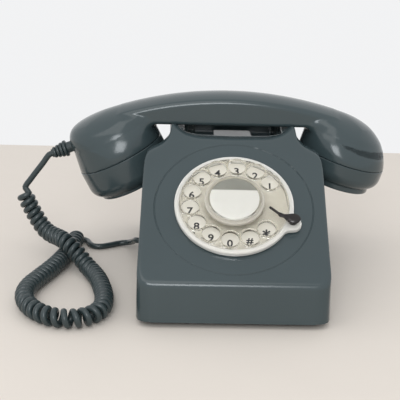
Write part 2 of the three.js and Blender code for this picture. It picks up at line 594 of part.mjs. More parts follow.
// ---------------------------------------------------------------- ringer and board
function addRinger(group) {
  const low = plateTop + GAP;
  const plate = box([-GONG.x - 8, GONG.x + 8], [CLAPPER.y - 17, GONG.y + 8], [low, low + 2]);
  const posts = [-1, 1].map((way) =>
    disc(2.6, low + 1, GONG.low + GONG.height + 1.6, 16, way * GONG.x, GONG.y));
  const seats = [-1, 1].map((way) => disc(5, low + 1, GONG.low + GONG.height - 2.2, 20, way * GONG.x, GONG.y));
  const pivot = disc(1.5, low + 1, CLAPPER.z + 4, 12, 0, CLAPPER.y);
  add(group, 'ringer_frame', join([plate, ...posts, ...seats, pivot]), FINISH.zinc);

  [['left', -1], ['right', 1]].forEach(([name, way]) => {
    const top = GONG.low + GONG.height;
    const shell = GONG.shell;
    add(group, `gong_${name}`, turned([
      [2.6 + GAP, top - shell], [GONG.radius * 0.55, top - shell], [GONG.radius * 0.86, top - 3.6],
      [GONG.radius - shell, GONG.low], [GONG.radius, GONG.low], [GONG.radius * 0.91, top - 2.8],
      [GONG.radius * 0.58, top], [2.6 + GAP, top], [2.6 + GAP, top - shell],
    ], 32, way * GONG.x, GONG.y), FINISH.brass);
  });

  const clapper = new THREE.Group();
  clapper.position.set(0, CLAPPER.y, 0);
  group.add(clapper);
  const ball = new THREE.SphereGeometry(CLAPPER.ball, 14, 10);
  ball.translate(0, GONG.y - CLAPPER.y, CLAPPER.z);
  add(clapper, 'clapper', join([
    ring(3.2, 1.5 + GAP, CLAPPER.z - 2, CLAPPER.z + 2, 16),
    box([-CLAPPER.rod, CLAPPER.rod], [2.6, GONG.y - CLAPPER.y - 0.6], [CLAPPER.z - 0.8, CLAPPER.z + 0.8]),
    solid(ball),
  ]), FINISH.steel);

  const coil = new THREE.LatheGeometry([
    [0, -17], [8, -17], [8, -15], [6.6, -15], [6.6, 15], [8, 15], [8, 17], [0, 17],
  ].map(([r, h]) => new THREE.Vector2(r, h)), 20);
  coil.rotateZ(Math.PI / 2);
  coil.translate(0, CLAPPER.y - 13, low + 2 + GAP + 8.2);
  add(group, 'ringer_coil', solid(coil), FINISH.copper);
}

function addBoard(group) {
  const top = BOARD.z + BOARD.thick;
  const middle = (BOARD.front + BOARD.back) / 2;
  add(group, 'circuit_board', join([
    box([-BOARD.halfX, BOARD.halfX], [BOARD.front, BOARD.back], [BOARD.z, top]),
    block(-24, middle, 9, 7, top - 0.2, top + 11),
    block(6, middle - 8, 5, 10, top - 0.2, top + 3.4),
    disc(4.2, top - 0.2, top + 8, 16, 26, middle - 12),
    disc(3.2, top - 0.2, top + 7, 16, 33, middle + 4),
    block(12, middle + 18, 14, 3, top - 0.2, top + 7),
  ]), FINISH.board);
}

// ---------------------------------------------------------------- sockets and ringer switch
function addSockets(group) {
  const inner = -halfWidth + CASE.wall + GAP + RUN;
  const [y, z] = [JACK.y, JACK.z];
  const plugY = JACK.halfY - 0.6;
  const plugZ = JACK.halfZ - 0.4;
  add(group, 'handset_socket', box([inner, inner + JACK.depth + 2],
    [y - JACK.halfY - 2, y + JACK.halfY + 2], [plateTop + GAP, z + JACK.halfZ + 2])
    .subtract(box([inner - 1, inner + JACK.depth], [y - JACK.halfY, y + JACK.halfY],
      [z - JACK.halfZ, z + JACK.halfZ])), FINISH.blackPlastic);
  add(group, 'handset_plug', box([-halfWidth - 1.6, -halfWidth + 12], [y - plugY, y + plugY],
    [z - plugZ, z + plugZ]), FINISH.clear);

  const lineTop = LINE.z + LINE.halfZ + 2;
  const lineBack = backY(lineTop) - CASE.wall - RUN;
  add(group, 'line_socket', box([LINE.x - LINE.halfX - 2, LINE.x + LINE.halfX + 2],
    [lineBack - LINE.depth - 2, lineBack], [plateTop + GAP, lineTop])
    .subtract(box([LINE.x - LINE.halfX, LINE.x + LINE.halfX], [lineBack - LINE.depth, lineBack + 1],
      [LINE.z - LINE.halfZ, LINE.z + LINE.halfZ])), FINISH.blackPlastic);

  const volumeY = backY(VOLUME.z);
  add(group, 'ringer_volume', join([
    box([VOLUME.x - VOLUME.halfX, VOLUME.x + VOLUME.halfX], [volumeY - 8, volumeY + 2.4],
      [VOLUME.z - VOLUME.halfZ, VOLUME.z + VOLUME.halfZ]),
    box([VOLUME.x - VOLUME.halfX - 3, VOLUME.x + VOLUME.halfX + 3], [volumeY - 9.6, volumeY - 6.6],
      [VOLUME.z - VOLUME.halfZ - 1.5, VOLUME.z + VOLUME.halfZ + 1.5]),
  ]), FINISH.blackPlastic);
}

// ---------------------------------------------------------------- handset
/** A place on a cup in X and Z, from its distance across and up the cup's own axis. */
function onCup(cup, across, up) {
  const tilt = radians(cup.tilt);
  return [
    cup.x + across * Math.cos(tilt) + up * Math.sin(tilt),
    cup.z - across * Math.sin(tilt) + up * Math.cos(tilt),
  ];
}

/** The place on a cup's side at a height. */
const sideAt = (cup, across, height) => {
  const tilt = radians(cup.tilt);
  return onCup(cup, across, (height - cup.z + across * Math.sin(tilt)) / Math.cos(tilt));
};

const cupMatrix = (cup) => new THREE.Matrix4()
  .makeRotationY(radians(cup.tilt)).setPosition(cup.x, 0, cup.z);

/** A bent bar: a ring about the bend's centre, with rounded outer edges. */
function bentBar(half, edge, inset) {
  const outer = HANDSET.bend - inset;
  const inner = HANDSET.bend - 60;
  const [h, e] = [half - inset, Math.max(edge - inset, 1)];
  const turn = (from, sign) => Array.from({ length: 5 }, (_, i) => {
    const angle = (Math.PI / 2) * (i / 4);
    const [s, c] = [Math.sin(angle), Math.cos(angle)];
    return from < 0 ? [outer - e + e * s, sign * (h - e + e * c)]
      : [outer - e + e * c, sign * (h - e + e * s)];
  });
  const profile = [[inner, -h], ...turn(-1, -1), ...turn(1, 1), [inner, h], [inner, -h]];
  const geometry = new THREE.LatheGeometry(
    profile.map(([radius, along]) => new THREE.Vector2(radius, along)), 128);
  const bar = solid(geometry);
  return moved(bar, new THREE.Matrix4().setPosition(0, 0, HANDSET.topZ - HANDSET.bend));
}

/** The handset's whole outer form, or the same form with every wall moved inwards. */
function handsetForm(inset) {
  const cupBody = (cup) => moved(disc(cup.radius - inset, -OVER, 90, 48), cupMatrix(cup));
  const out = 0.4;
  const seamLow = -OVER / 2;
  const outline = inwards([
    onCup(MOUTH, -MOUTH.radius - out, seamLow),
    onCup(MOUTH, MOUTH.radius + out, seamLow),
    [...sideAt(MOUTH, MOUTH.radius + out, HANDSET.undersideZ), 4],
    [...sideAt(EAR, -EAR.radius - out, HANDSET.undersideZ), 4],
    onCup(EAR, -EAR.radius - out, seamLow),
    onCup(EAR, EAR.radius + out, seamLow),
    onCup(EAR, EAR.radius + out, EAR.seam - 0.5),
    [...onCup(EAR, EAR.radius - 4.4, EAR.seam + 22.6), 20, 32],
    [60, HANDSET.topZ + 8, 20], [-60, HANDSET.topZ + 8, 20],
    [...onCup(MOUTH, 0.6 - MOUTH.radius, MOUTH.seam + 33.1), 28, 13.3],
  ], inset);
  const silhouette = prism(rounded(outline), 'y', -OVER, OVER, 8);
  const overCups = box([MOUTH.x - 16, EAR.x + 12], [-OVER, OVER], [0, 150]);
  const grip = bentBar(HANDSET.gripHalf, HANDSET.gripEdge, inset).intersect(overCups);
  const flare = new THREE.Shape();
  const [slim, wide] = [HANDSET.gripHalf - inset, HANDSET.gripHalf + 11 - inset];
  const run = [[-76, wide], [-58, slim + 1.6], [-44, slim + 0.1], [44, slim + 0.1], [60, slim + 1.6], [82, wide]];
  run.forEach(([x, y], i) => (i ? flare.lineTo(x, y) : flare.moveTo(x, y)));
  run.reverse().forEach(([x, y]) => flare.lineTo(x, -y));
  flare.closePath();
  const widened = bentBar(HANDSET.gripHalf + 12, HANDSET.gripEdge + 2, inset)
    .intersect(prism(flare, 'z', 60, 140));
  const crown = bentBar(MOUTH.radius + 1, HANDSET.cupEdge, inset);
  return join([grip, widened, crown.intersect(cupBody(MOUTH)), crown.intersect(cupBody(EAR))])
    .intersect(silhouette);
}

/** A capsule cap, its axis up and its lowest face's middle at the origin. */
function capBody(cup, holeRows) {
  const { wall, edge, lipOuter, lipInner } = CAP;
  const outer = cup.radius;
  const top = cup.seam - GAP;
  const arc = (radius, centreR, centreH, steps) => Array.from({ length: steps + 1 }, (_, i) => {
    const angle = (Math.PI / 2) * (i / steps);
    return [centreR + radius * Math.sin(angle), centreH - radius * Math.cos(angle)];
  });
  const low = arc(edge, outer - edge, edge, 6);
  const inside = arc(edge - wall, outer - edge, edge, 4).reverse();
  const lip = [
    [0, 0], [lipInner - 1.2, 0], [lipInner, -cup.lip + 1], [lipInner + 0.8, -cup.lip],
    [lipOuter - 0.8, -cup.lip], [lipOuter, -cup.lip + 1], [lipOuter, 0.2],
  ];
  const shell = turned([...lip, ...low.slice(2), [outer, top], [outer - wall, top],
    ...inside, [0, wall]], 36);
  const holes = holeRows.flatMap(([radius, count]) => Array.from({ length: count }, (_, i) => {
    const [x, y] = onDial(radius, (360 * i) / count);
    return disc(CAP.holeRadius, -5, 6, 6, x, y);
  }));
  return cut(shell, holes);
}

function addHandset(group) {
  const handset = new THREE.Group();
  handset.position.set(0, HANDSET.y, 0);
  group.add(handset);

  const belowSeam = [MOUTH, EAR].map((cup) => moved(
    box([-cup.radius - 3, cup.radius + 3], [-OVER, OVER], [-2 * OVER, cup.seam]), cupMatrix(cup)));
  const bootRoot = onCup(MOUTH, -MOUTH.radius, 44);
  const bootEnd = ROUTE_BOOT[0];
  const bootAway = new THREE.Vector3(bootEnd[0] - bootRoot[0], 0, bootEnd[2] - bootRoot[1]);
  const bootLength = bootAway.length();
  const toBoot = new THREE.Quaternion().setFromUnitVectors(
    new THREE.Vector3(0, 0, 1), bootAway.normalize());
  const bootMatrix = new THREE.Matrix4().makeRotationFromQuaternion(toBoot)
    .setPosition(bootRoot[0], 0, bootRoot[1]);
  const bootSeat = moved(disc(CORD.bootRoot - 2 + GAP, -12, 12, 20), bootMatrix);
  const shell = cut(handsetForm(0), [handsetForm(HANDSET.wall), bootSeat, ...belowSeam]);
  add(handset, 'handset_handle', shell, FINISH.greyShell);

  const barLow = HANDSET.undersideZ + HANDSET.wall + GAP;
  add(handset, 'handset_weight', box([-28, 28], [-9, 9], [barLow, barLow + 9]), FINISH.steel);

  [
    ['mouthpiece_cap', 'microphone_capsule', MOUTH, [[0, 1], [7, 6], [14, 12]]],
    ['earpiece_cap', 'receiver_capsule', EAR, [[0, 1], [6, 6]]],
  ].forEach(([capName, capsuleName, cup, rows]) => {
    const holder = new THREE.Group();
    holder.position.set(cup.x, 0, cup.z);
    holder.rotation.y = radians(cup.tilt);
    handset.add(holder);
    add(holder, capName, capBody(cup, rows), FINISH.greyShell);
    const seat = CAP.wall + GAP;
    add(holder, capsuleName, turned([
      [0, seat], [22, seat], [23.5, seat + 1.5], [23.5, seat + 7], [16, seat + 9], [16, seat + 12],
      [0, seat + 12],
    ], 32), FINISH.steel);
  });

  const ribs = [];
  for (let i = 0; i < 4; i += 1) {
    const start = 1.2 + (i * (bootLength - 2)) / 4;
    const radius = THREE.MathUtils.lerp(CORD.bootRoot, CORD.bootTip, i / 3);
    ribs.push([radius - 1, start], [radius, start + 0.4], [radius, start + 1.7], [radius - 1, start + 2.1]);
  }
  const boot = new THREE.Group();
  boot.position.set(bootRoot[0], 0, bootRoot[1]);
  boot.quaternion.copy(toBoot);
  handset.add(boot);
  add(boot, 'handset_boot', turned([
    [0, -5], [CORD.bootRoot - 2, -5], [CORD.bootRoot - 2, 0.6], ...ribs,
    [CORD.bootTip - 1, bootLength - GAP], [0, bootLength - GAP],
  ], 12), FINISH.greyCord);
}

// ---------------------------------------------------------------- cord
function addCord(group) {
  add(group, 'cord_to_handset', tube(ROUTE_BOOT, CORD.wire, 8, 12), FINISH.greyCord);
  add(group, 'cord_curl', tube(ROUTE_CURL, CORD.coil, 10, 54), FINISH.greyCord);
  add(group, 'cord_to_base', tube(ROUTE_JACK, CORD.wire, 8, 26), FINISH.greyCord);
}

// ---------------------------------------------------------------- the telephone
function makeTelephone() {
  const telephone = new THREE.Group();
  const body = new THREE.Group();
  body.position.x = CASE.offsetX;
  telephone.add(body);
  add(body, 'case', makeCase(), FINISH.greyShell);
  addBase(body);
  addDial(body);
  addHookSwitch(body);
  addRinger(body);
  addBoard(body);
  addSockets(body);
  addHandset(telephone);
  addCord(telephone);
  return telephone;
}

const group = makeTelephone();
export default group;
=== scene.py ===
"""Looks of a desk rotary telephone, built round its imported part. Sizes here are in millimetres."""

import logging
import math
from collections.abc import Callable, Iterable, Sequence
from dataclasses import dataclass, field
from enum import Enum

import bmesh
import bpy
import numpy as np
import openvdb
from mathutils import Matrix, Vector


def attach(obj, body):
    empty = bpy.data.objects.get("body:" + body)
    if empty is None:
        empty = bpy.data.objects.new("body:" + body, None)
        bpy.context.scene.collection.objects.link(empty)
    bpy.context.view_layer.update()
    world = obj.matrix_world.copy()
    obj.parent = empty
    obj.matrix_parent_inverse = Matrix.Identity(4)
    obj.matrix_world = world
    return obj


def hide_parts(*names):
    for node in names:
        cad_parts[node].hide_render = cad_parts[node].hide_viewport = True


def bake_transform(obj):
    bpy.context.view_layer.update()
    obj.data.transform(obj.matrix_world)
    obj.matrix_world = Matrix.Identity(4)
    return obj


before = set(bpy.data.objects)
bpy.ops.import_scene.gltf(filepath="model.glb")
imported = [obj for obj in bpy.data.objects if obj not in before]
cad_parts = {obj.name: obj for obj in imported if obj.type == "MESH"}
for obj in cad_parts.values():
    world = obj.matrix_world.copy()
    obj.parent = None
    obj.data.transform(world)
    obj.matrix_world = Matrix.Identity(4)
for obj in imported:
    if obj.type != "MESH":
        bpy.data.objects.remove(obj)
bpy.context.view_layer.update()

log = logging.getLogger("telephone")
logging.basicConfig(level=logging.INFO, format="%(name)s: %(message)s")

MM = 0.001
CASE_X = 3.3  # the case's middle plane, from the handset's
HAND_Y = 29.5  # the handset's middle plane
Field = Callable[[np.ndarray, np.ndarray, np.ndarray], np.ndarray]


# ---------------------------------------------------------------- shader maths
class Socket:
    """An output of a shader node, used in expressions."""

    def __init__(self, shader: "Shader", link: bpy.types.NodeSocket) -> None:
        """Wraps one output of one of the shader's nodes."""
        self.shader = shader
        self.link = link

    def _maths(self, operation: str, first: object, second: object = 0.0) -> "Socket":
        """Adds one Math node and returns its result."""
        return self.shader.node("ShaderNodeMath", {"operation": operation}, {0: first, 1: second})

    def __add__(self, other: object) -> "Socket":
        """This value plus another."""
        return self._maths("ADD", self, other)

    __radd__ = __add__

    def __mul__(self, other: object) -> "Socket":
        """This value times another."""
        return self._maths("MULTIPLY", self, other)

    __rmul__ = __mul__

    def __sub__(self, other: object) -> "Socket":
        """This value less another."""
        return self._maths("SUBTRACT", self, other)

    def __rsub__(self, other: object) -> "Socket":
        """Another value less this one."""
        return self._maths("SUBTRACT", other, self)


class Shader:
    """One material's nodes."""

    def __init__(self, name: str) -> None:
        """Starts a material with one Principled shader."""
        self.material = bpy.data.materials.new(name)
        self.material.use_nodes = True
        self.tree = self.material.node_tree
        self.tree.nodes.clear()
        self.output = self.tree.nodes.new("ShaderNodeOutputMaterial")
        self.surface = self.tree.nodes.new("ShaderNodeBsdfPrincipled")
        self.tree.links.new(self.surface.outputs[0], self.output.inputs["Surface"])
        place = self.tree.nodes.new("ShaderNodeTexCoord")
        self.place = Socket(self, place.outputs["Object"])

    def node(self, kind: str, settings: dict, inputs: dict, output: int | str = 0) -> Socket:
        """Adds a node.

        Args:
            kind: the node's type.
            settings: its own settings, set first; "stops" fills a colour ramp.
            inputs: values or sockets for its inputs.
            output: which output is returned.

        Returns:
            The chosen output.
        """
        made = self.tree.nodes.new(kind)
        for key, value in settings.items():
            if key == "stops":
                ramp = made.color_ramp
                for i, (at, colour) in enumerate(value):
                    stop = ramp.elements[i] if i < 2 else ramp.elements.new(at)
                    stop.position = at
                    stop.color = (*colour, 1.0)
            else:
                setattr(made, key, value)
        for key, value in inputs.items():
            self.feed(made.inputs[key], value)
        return Socket(self, made.outputs[output])

    def feed(self, target: bpy.types.NodeSocket, value: object) -> None:
        """Gives an input its value or its link."""
        if isinstance(value, Socket):
            self.tree.links.new(value.link, target)
        elif isinstance(value, tuple) and len(value) == 3 and target.type == "RGBA":
            target.default_value = (*value, 1.0)
        else:
            target.default_value = value

    def noise(self, scale: float, detail: float = 3.0, roughness: float = 0.5) -> Socket:
        """Noise from 0 to 1; scale is in waves per metre."""
        return self.node("ShaderNodeTexNoise", {}, {
            "Vector": self.place, "Scale": scale, "Detail": detail, "Roughness": roughness})

    def between(self, value: Socket, low: float, high: float, to_low: float, to_high: float) -> Socket:
        """A value mapped from one range to another, and held inside it."""
        return self.node("ShaderNodeMapRange", {"clamp": True}, {
            "Value": value, "From Min": low, "From Max": high, "To Min": to_low, "To Max": to_high})

    def mix(self, share: object, first: object, second: object) -> Socket:
        """Two colours mixed by a share."""
        return self.node("ShaderNodeMix", {"data_type": "RGBA"}, {0: share, 6: first, 7: second}, 2)

    def bump(self, height: Socket, strength: float, distance: float) -> Socket:
        """A normal from a height; distance is in metres."""
        return self.node("ShaderNodeBump", {}, {
            "Height": height, "Strength": strength, "Distance": distance})

    def set(self, **inputs: object) -> None:
        """Feeds the Principled shader's inputs; an underscore stands for a space."""
        for key, value in inputs.items():
            self.feed(self.surface.inputs[key.replace("_", " ")], value)


def srgb(red: int, green: int, blue: int) -> tuple[float, float, float]:
    """A linear colour from sRGB levels of 0 to 255."""
    def one(level: int) -> float:
        """One channel's linear value."""
        share = level / 255
        return share / 12.92 if share <= 0.04045 else ((share + 0.055) / 1.055) ** 2.4
    return one(red), one(green), one(blue)


@dataclass(frozen=True)
class Plastic:
    """A moulded plastic: glossy, with faint orange peel, cloudy colour and fine scuffs."""

    colour: tuple[float, float, float]
    shade: float = 0.93
    roughness: float = 0.2
    scuffed: float = 0.08
    peel: float = 0.06
    grain: float = 0.0
    see_through: float = 0.0
    bend: float = 1.5

    def make(self, name: str) -> bpy.types.Material:
        """Builds the material."""
        shader = Shader(name)
        cloud = shader.noise(14.0, 4.0)
        speck = shader.noise(1400.0, 2.0)
        darker = tuple(part * self.shade for part in self.colour)
        colour = shader.mix(shader.between(cloud, 0.35, 0.65, 0.0, 1.0), self.colour, darker)
        flecked = shader.mix(shader.between(speck, 0.62, 0.75, 0.0, 0.25), colour,
                             tuple(min(1.0, part * 1.18) for part in self.colour))
        scuffs = shader.between(shader.noise(95.0, 6.0, 0.7), 0.45, 0.75, 0.0, 1.0)
        peel = shader.noise(520.0, 2.0)
        height = peel * (1.0 - self.grain) + shader.noise(2600.0, 2.0) * self.grain
        shader.set(Base_Color=flecked, Roughness=scuffs * self.scuffed + self.roughness,
                   Normal=shader.bump(height, self.peel, 0.0004), IOR=1.5)
        if self.see_through:
            shader.set(Transmission_Weight=self.see_through, IOR=self.bend)
        return shader.material


@dataclass(frozen=True)
class Metal:
    """A plated or bare metal with fine brushing."""

    colour: tuple[float, float, float]
    roughness: float = 0.15
    brushed: float = 0.08

    def make(self, name: str) -> bpy.types.Material:
        """Builds the material."""
        shader = Shader(name)
        streaks = shader.noise(420.0, 5.0, 0.65)
        tarnish = shader.noise(60.0, 3.0)
        dull = tuple(part * 0.8 for part in self.colour)
        shader.set(Base_Color=shader.mix(shader.between(tarnish, 0.4, 0.7, 0.0, 1.0), self.colour, dull),
                   Metallic=1.0, Roughness=streaks * self.brushed + self.roughness,
                   Normal=shader.bump(streaks, 0.05, 0.0002))
        return shader.material


@dataclass(frozen=True)
class Card:
    """Printed card: grey over its upper part and white below, with paper fibres."""

    upper: tuple[float, float, float]
    lower: tuple[float, float, float]
    split_low: float
    split_high: float

    def make(self, name: str) -> bpy.types.Material:
        """Builds the material; the split is by height."""
        shader = Shader(name)
        height = shader.node("ShaderNodeSeparateXYZ", {}, {"Vector": shader.place}, "Z")
        share = shader.between(height, self.split_low, self.split_high, 0.0, 1.0)
        fibres = shader.noise(1800.0, 5.0, 0.7)
        printed = shader.mix(share, self.lower, self.upper)
        shader.set(Base_Color=shader.mix(shader.between(fibres, 0.4, 0.7, 0.0, 0.12), printed,
                                         (0.5, 0.49, 0.46)),
                   Roughness=fibres * 0.2 + 0.45, Normal=shader.bump(fibres, 0.08, 0.0001))
        return shader.material


GREY = srgb(56, 68, 71)
FINISHES = {
    "grey_shell": Plastic(GREY, roughness=0.16),
    "grey_cord": Plastic(srgb(46, 57, 59), roughness=0.27, scuffed=0.12, peel=0.1, grain=0.4),
    "cream": Plastic(srgb(226, 221, 209), shade=0.96, roughness=0.22),
    "frosted": Plastic(srgb(240, 238, 232), shade=0.98, roughness=0.12, see_through=0.4, bend=1.3),
    "beige_clear": Plastic(srgb(222, 217, 205), shade=0.97, roughness=0.08, see_through=0.4, bend=1.3),
    "clear": Plastic(srgb(250, 249, 245), shade=0.99, roughness=0.04, scuffed=0.03, peel=0.02,
                     see_through=1.0, bend=1.25),
    "digits": Plastic(srgb(22, 22, 24), roughness=0.4, peel=0.03),
    # the stop's chrome is given a dark colour, a painted reflection of a dark room round the telephone
    "chrome": Metal(srgb(64, 62, 62), 0.2),
    "steel": Metal(srgb(176, 176, 178), 0.28, 0.15),
    "zinc": Metal(srgb(168, 170, 172), 0.38, 0.15),
    "brass": Metal(srgb(201, 166, 92), 0.26, 0.12),
    "copper": Metal(srgb(186, 108, 70), 0.3, 0.12),
    "rubber": Plastic(srgb(24, 24, 25), roughness=0.75, peel=0.3, grain=0.8),
    "black_plastic": Plastic(srgb(34, 34, 36), roughness=0.4, peel=0.12, grain=0.5),
    "board": Plastic(srgb(124, 96, 48), roughness=0.5, peel=0.1, grain=0.6),
    "card": Card(srgb(150, 151, 145), srgb(248, 248, 247), 0.0797, 0.0801),
    "floor": Plastic(srgb(217, 209, 200), shade=0.985, roughness=0.6, scuffed=0.1, peel=0.02),
}
_made: dict[str, bpy.types.Material] = {}


def finish_of(name: str) -> bpy.types.Material:
    """The material of a finish, made once."""
    if name not in _made:
        _made[name] = FINISHES[name].make(name)
    return _made[name]


# ---------------------------------------------------------------- shapes from distances
def both(a: np.ndarray, b: np.ndarray, radius: object) -> np.ndarray:
    """What is inside two shapes at once, with the corner between them rounded."""
    u = np.maximum(a + radius, 0)
    v = np.maximum(b + radius, 0)
    return np.minimum(np.maximum(a, b), -radius) + np.sqrt(u * u + v * v)


def either(a: np.ndarray, b: np.ndarray, radius: object) -> np.ndarray:
    """What is inside either of two shapes, with a fillet between them."""
    return -both(-a, -b, radius)


def without(a: np.ndarray, b: np.ndarray, radius: object) -> np.ndarray:
    """The first shape less the second, with the edge rounded."""
    return both(a, -b, radius)


def slab(v: np.ndarray, low: float, high: float) -> np.ndarray:
    """The space between two parallel planes."""
    return np.abs(v - (low + high) / 2) - (high - low) / 2


def arcs(corners: Sequence[Sequence[float]], steps: int = 14) -> np.ndarray:
    """An outline with its corners rounded; each is x, y and how far the rounding starts and ends."""
    points = []
    count = len(corners)
    for i, corner in enumerate(corners):
        at = np.array(corner[:2], float)
        wanted = [corner[2], corner[-1]] if len(corner) > 2 else [0, 0]
        ends = []
        for way, reach in zip((-1, 1), wanted):
            near = corners[(i + way) % count]
            along = np.array(near[:2], float) - at
            length = np.linalg.norm(along)
            room = (0.46 if len(near) > 2 else 0.92) * length
            ends.append(at + along / length * min(reach, room))
        if max(wanted) == 0:
            points.append(at)
        else:
            for t in np.linspace(0, 1, steps):
                points.append((1 - t) ** 2 * ends[0] + 2 * t * (1 - t) * at + t * t * ends[1])
    return np.array(points)


class Outline:
    """The signed distance to a closed outline, kept as a table and read between its entries."""

    def __init__(self, corners: Sequence[Sequence[float]], low: tuple[float, float],
                 high: tuple[float, float], step: float = 0.4) -> None:
        """Fills the table over a rectangle that holds every place asked for."""
        self.low = np.array(low)
        self.step = step
        u, v = (np.arange(low[i], high[i] + step, step) for i in range(2))
        gu, gv = np.meshgrid(u, v, indexing="ij")
        nearest = np.full(gu.shape, 1e9)
        crossings = np.zeros(gu.shape, int)
        points = arcs(corners)
        for a, b in zip(points, np.roll(points, -1, 0)):
            along = b - a
            length = along @ along
            if length < 1e-12:
                continue
            pu, pv = gu - a[0], gv - a[1]
            t = np.clip((pu * along[0] + pv * along[1]) / length, 0, 1)
            nearest = np.minimum(nearest, (pu - t * along[0]) ** 2 + (pv - t * along[1]) ** 2)
            spans = (a[1] <= gv) != (b[1] <= gv)
            if spans.any():
                meets = a[0] + (gv - a[1]) * along[0] / (along[1] if along[1] else 1e-9)
                crossings += spans & (gu < meets)
        self.table = np.sqrt(nearest) * np.where(crossings % 2, -1, 1)

    def __call__(self, u: np.ndarray, v: np.ndarray) -> np.ndarray:
        """The distance at each place, negative inside."""
        fu = np.clip((u - self.low[0]) / self.step, 0, self.table.shape[0] - 1.001)
        fv = np.clip((v - self.low[1]) / self.step, 0, self.table.shape[1] - 1.001)
        iu, iv = fu.astype(int), fv.astype(int)
        fu, fv = fu - iu, fv - iv
        table = self.table
        return ((table[iu, iv] * (1 - fu) + table[iu + 1, iv] * fu) * (1 - fv)
                + (table[iu, iv + 1] * (1 - fu) + table[iu + 1, iv + 1] * fu) * fv)


def slope_of(shape: Field, at: np.ndarray, reach: float = 0.3) -> np.ndarray:
    """The gradient of a distance at each point."""
    parts = []
    for axis in range(3):
        shift = np.zeros(3)
        shift[axis] = reach
        parts.append((shape(*(at + shift).T) - shape(*(at - shift).T)) / (2 * reach))
    return np.stack(parts, 1)


def skin(name: str, shape: Field, low: Sequence[float], high: Sequence[float],
         step: float) -> bpy.types.Object:
    """Meshes the surface of a shape given by its distance.

    Args:
        name: the piece's name.
        shape: the distance at each place, in millimetres.
        low: the lowest corner of the space that holds it.
        high: the highest corner.
        step: the grid's pitch.

    Returns:
        The piece, smooth and closed.
    """
    axes = [np.arange(low[i], high[i] + step, step) for i in range(3)]
    grid = np.broadcast_to(shape(axes[0][:, None, None], axes[1][None, :, None], axes[2][None, None, :]),
                           tuple(len(axis) for axis in axes))
    volume = openvdb.FloatGrid(background=3.0)
    volume.copyFromArray(np.ascontiguousarray(np.clip(grid, -3, 3), dtype=np.float32))
    volume.transform = openvdb.createLinearTransform(voxelSize=step)
    points, quads = volume.convertToQuads(isovalue=0.0)
    points = points.astype(float) + np.array(low, float)
    for _ in range(3):
        slope = slope_of(shape, points)
        distance = shape(*points.T)
        points -= slope * (distance / np.maximum((slope ** 2).sum(1), 0.3))[:, None]
    return piece(name, points, quads[:, ::-1])


# ---------------------------------------------------------------- meshes
def piece(name: str, points: Iterable, faces: Iterable) -> bpy.types.Object:
    """A mesh object from points in millimetres."""
    mesh = bpy.data.meshes.new(name)
    corners = np.asarray(points, float) * MM
    mesh.from_pydata(corners.tolist(), [], [list(map(int, f)) for f in faces])
    mesh.update()
    made = bpy.data.objects.new(name, mesh)
    bpy.context.scene.collection.objects.link(made)
    return made


def lathe(name: str, profile: Sequence[Sequence[float]], segments: int = 96,
          place: Matrix = Matrix.Identity(4)) -> bpy.types.Object:
    """A turned solid from radius and height pairs, closed at the axis or round a bore."""
    profile = [tuple(p) for p in profile]
    if profile[0] == profile[-1]:
        profile = profile[:-1]
    points, rows = [], []
    for radius, height in profile:
        if radius < 1e-6:
            rows.append([len(points)] * segments)
            points.append((0, 0, height))
            continue
        rows.append(list(range(len(points), len(points) + segments)))
        for i in range(segments):
            angle = 2 * math.pi * i / segments
            points.append((radius * math.cos(angle), radius * math.sin(angle), height))
    faces = []
    for row, after in zip(rows, rows[1:] + rows[:1]):
        for i in range(segments):
            j = (i + 1) % segments
            face = list(dict.fromkeys([row[i], row[j], after[j], after[i]]))
            if len(face) > 2:
                faces.append(face)
    made = piece(name, [place @ Vector(p) for p in points], faces)
    tidy_normals(made)
    return made


def tidy_normals(made: bpy.types.Object) -> None:
    """Turns every face outwards."""
    work = bmesh.new()
    work.from_mesh(made.data)
    bmesh.ops.recalc_face_normals(work, faces=work.faces)
    work.to_mesh(made.data)
    work.free()


def edge_round(inner: float, outer: float, low: float, high: float, radius: float,
               steps: int = 5) -> list[tuple[float, float]]:
    """A ring's profile with its upper corners rounded; an inner radius of 0 gives a disc."""
    turn = [math.pi / 2 * i / steps for i in range(steps + 1)]
    profile = [(inner, low), (outer, low)]
    profile += [(outer - radius + radius * math.cos(a), high - radius + radius * math.sin(a)) for a in turn]
    if inner > 0:
        profile += [(inner + radius - radius * math.sin(a), high - radius + radius * math.cos(a))
                    for a in turn]
    else:
        profile.append((0, high))
    return profile


class Cut(Enum):
    """How one solid acts on another."""

    AWAY = "DIFFERENCE"
    ADD = "UNION"


def combine(made: bpy.types.Object, tools: Iterable[bpy.types.Object], how: Cut = Cut.AWAY) -> None:
    """Cuts or adds solids and deletes the tools."""
    for tool in tools:
        modifier = made.modifiers.new("cut", "BOOLEAN")
        modifier.operation = how.value
        modifier.solver = "MANIFOLD"
        modifier.object = tool
        graph = bpy.context.evaluated_depsgraph_get()
        mesh = bpy.data.meshes.new_from_object(made.evaluated_get(graph))
        made.modifiers.clear()
        if len(mesh.polygons) == 0:
            log.warning("%s: a cut left nothing, so it is skipped", made.name)
            bpy.data.meshes.remove(mesh)
        else:
            old = made.data
            made.data = mesh
            bpy.data.meshes.remove(old)
        bpy.data.objects.remove(tool)


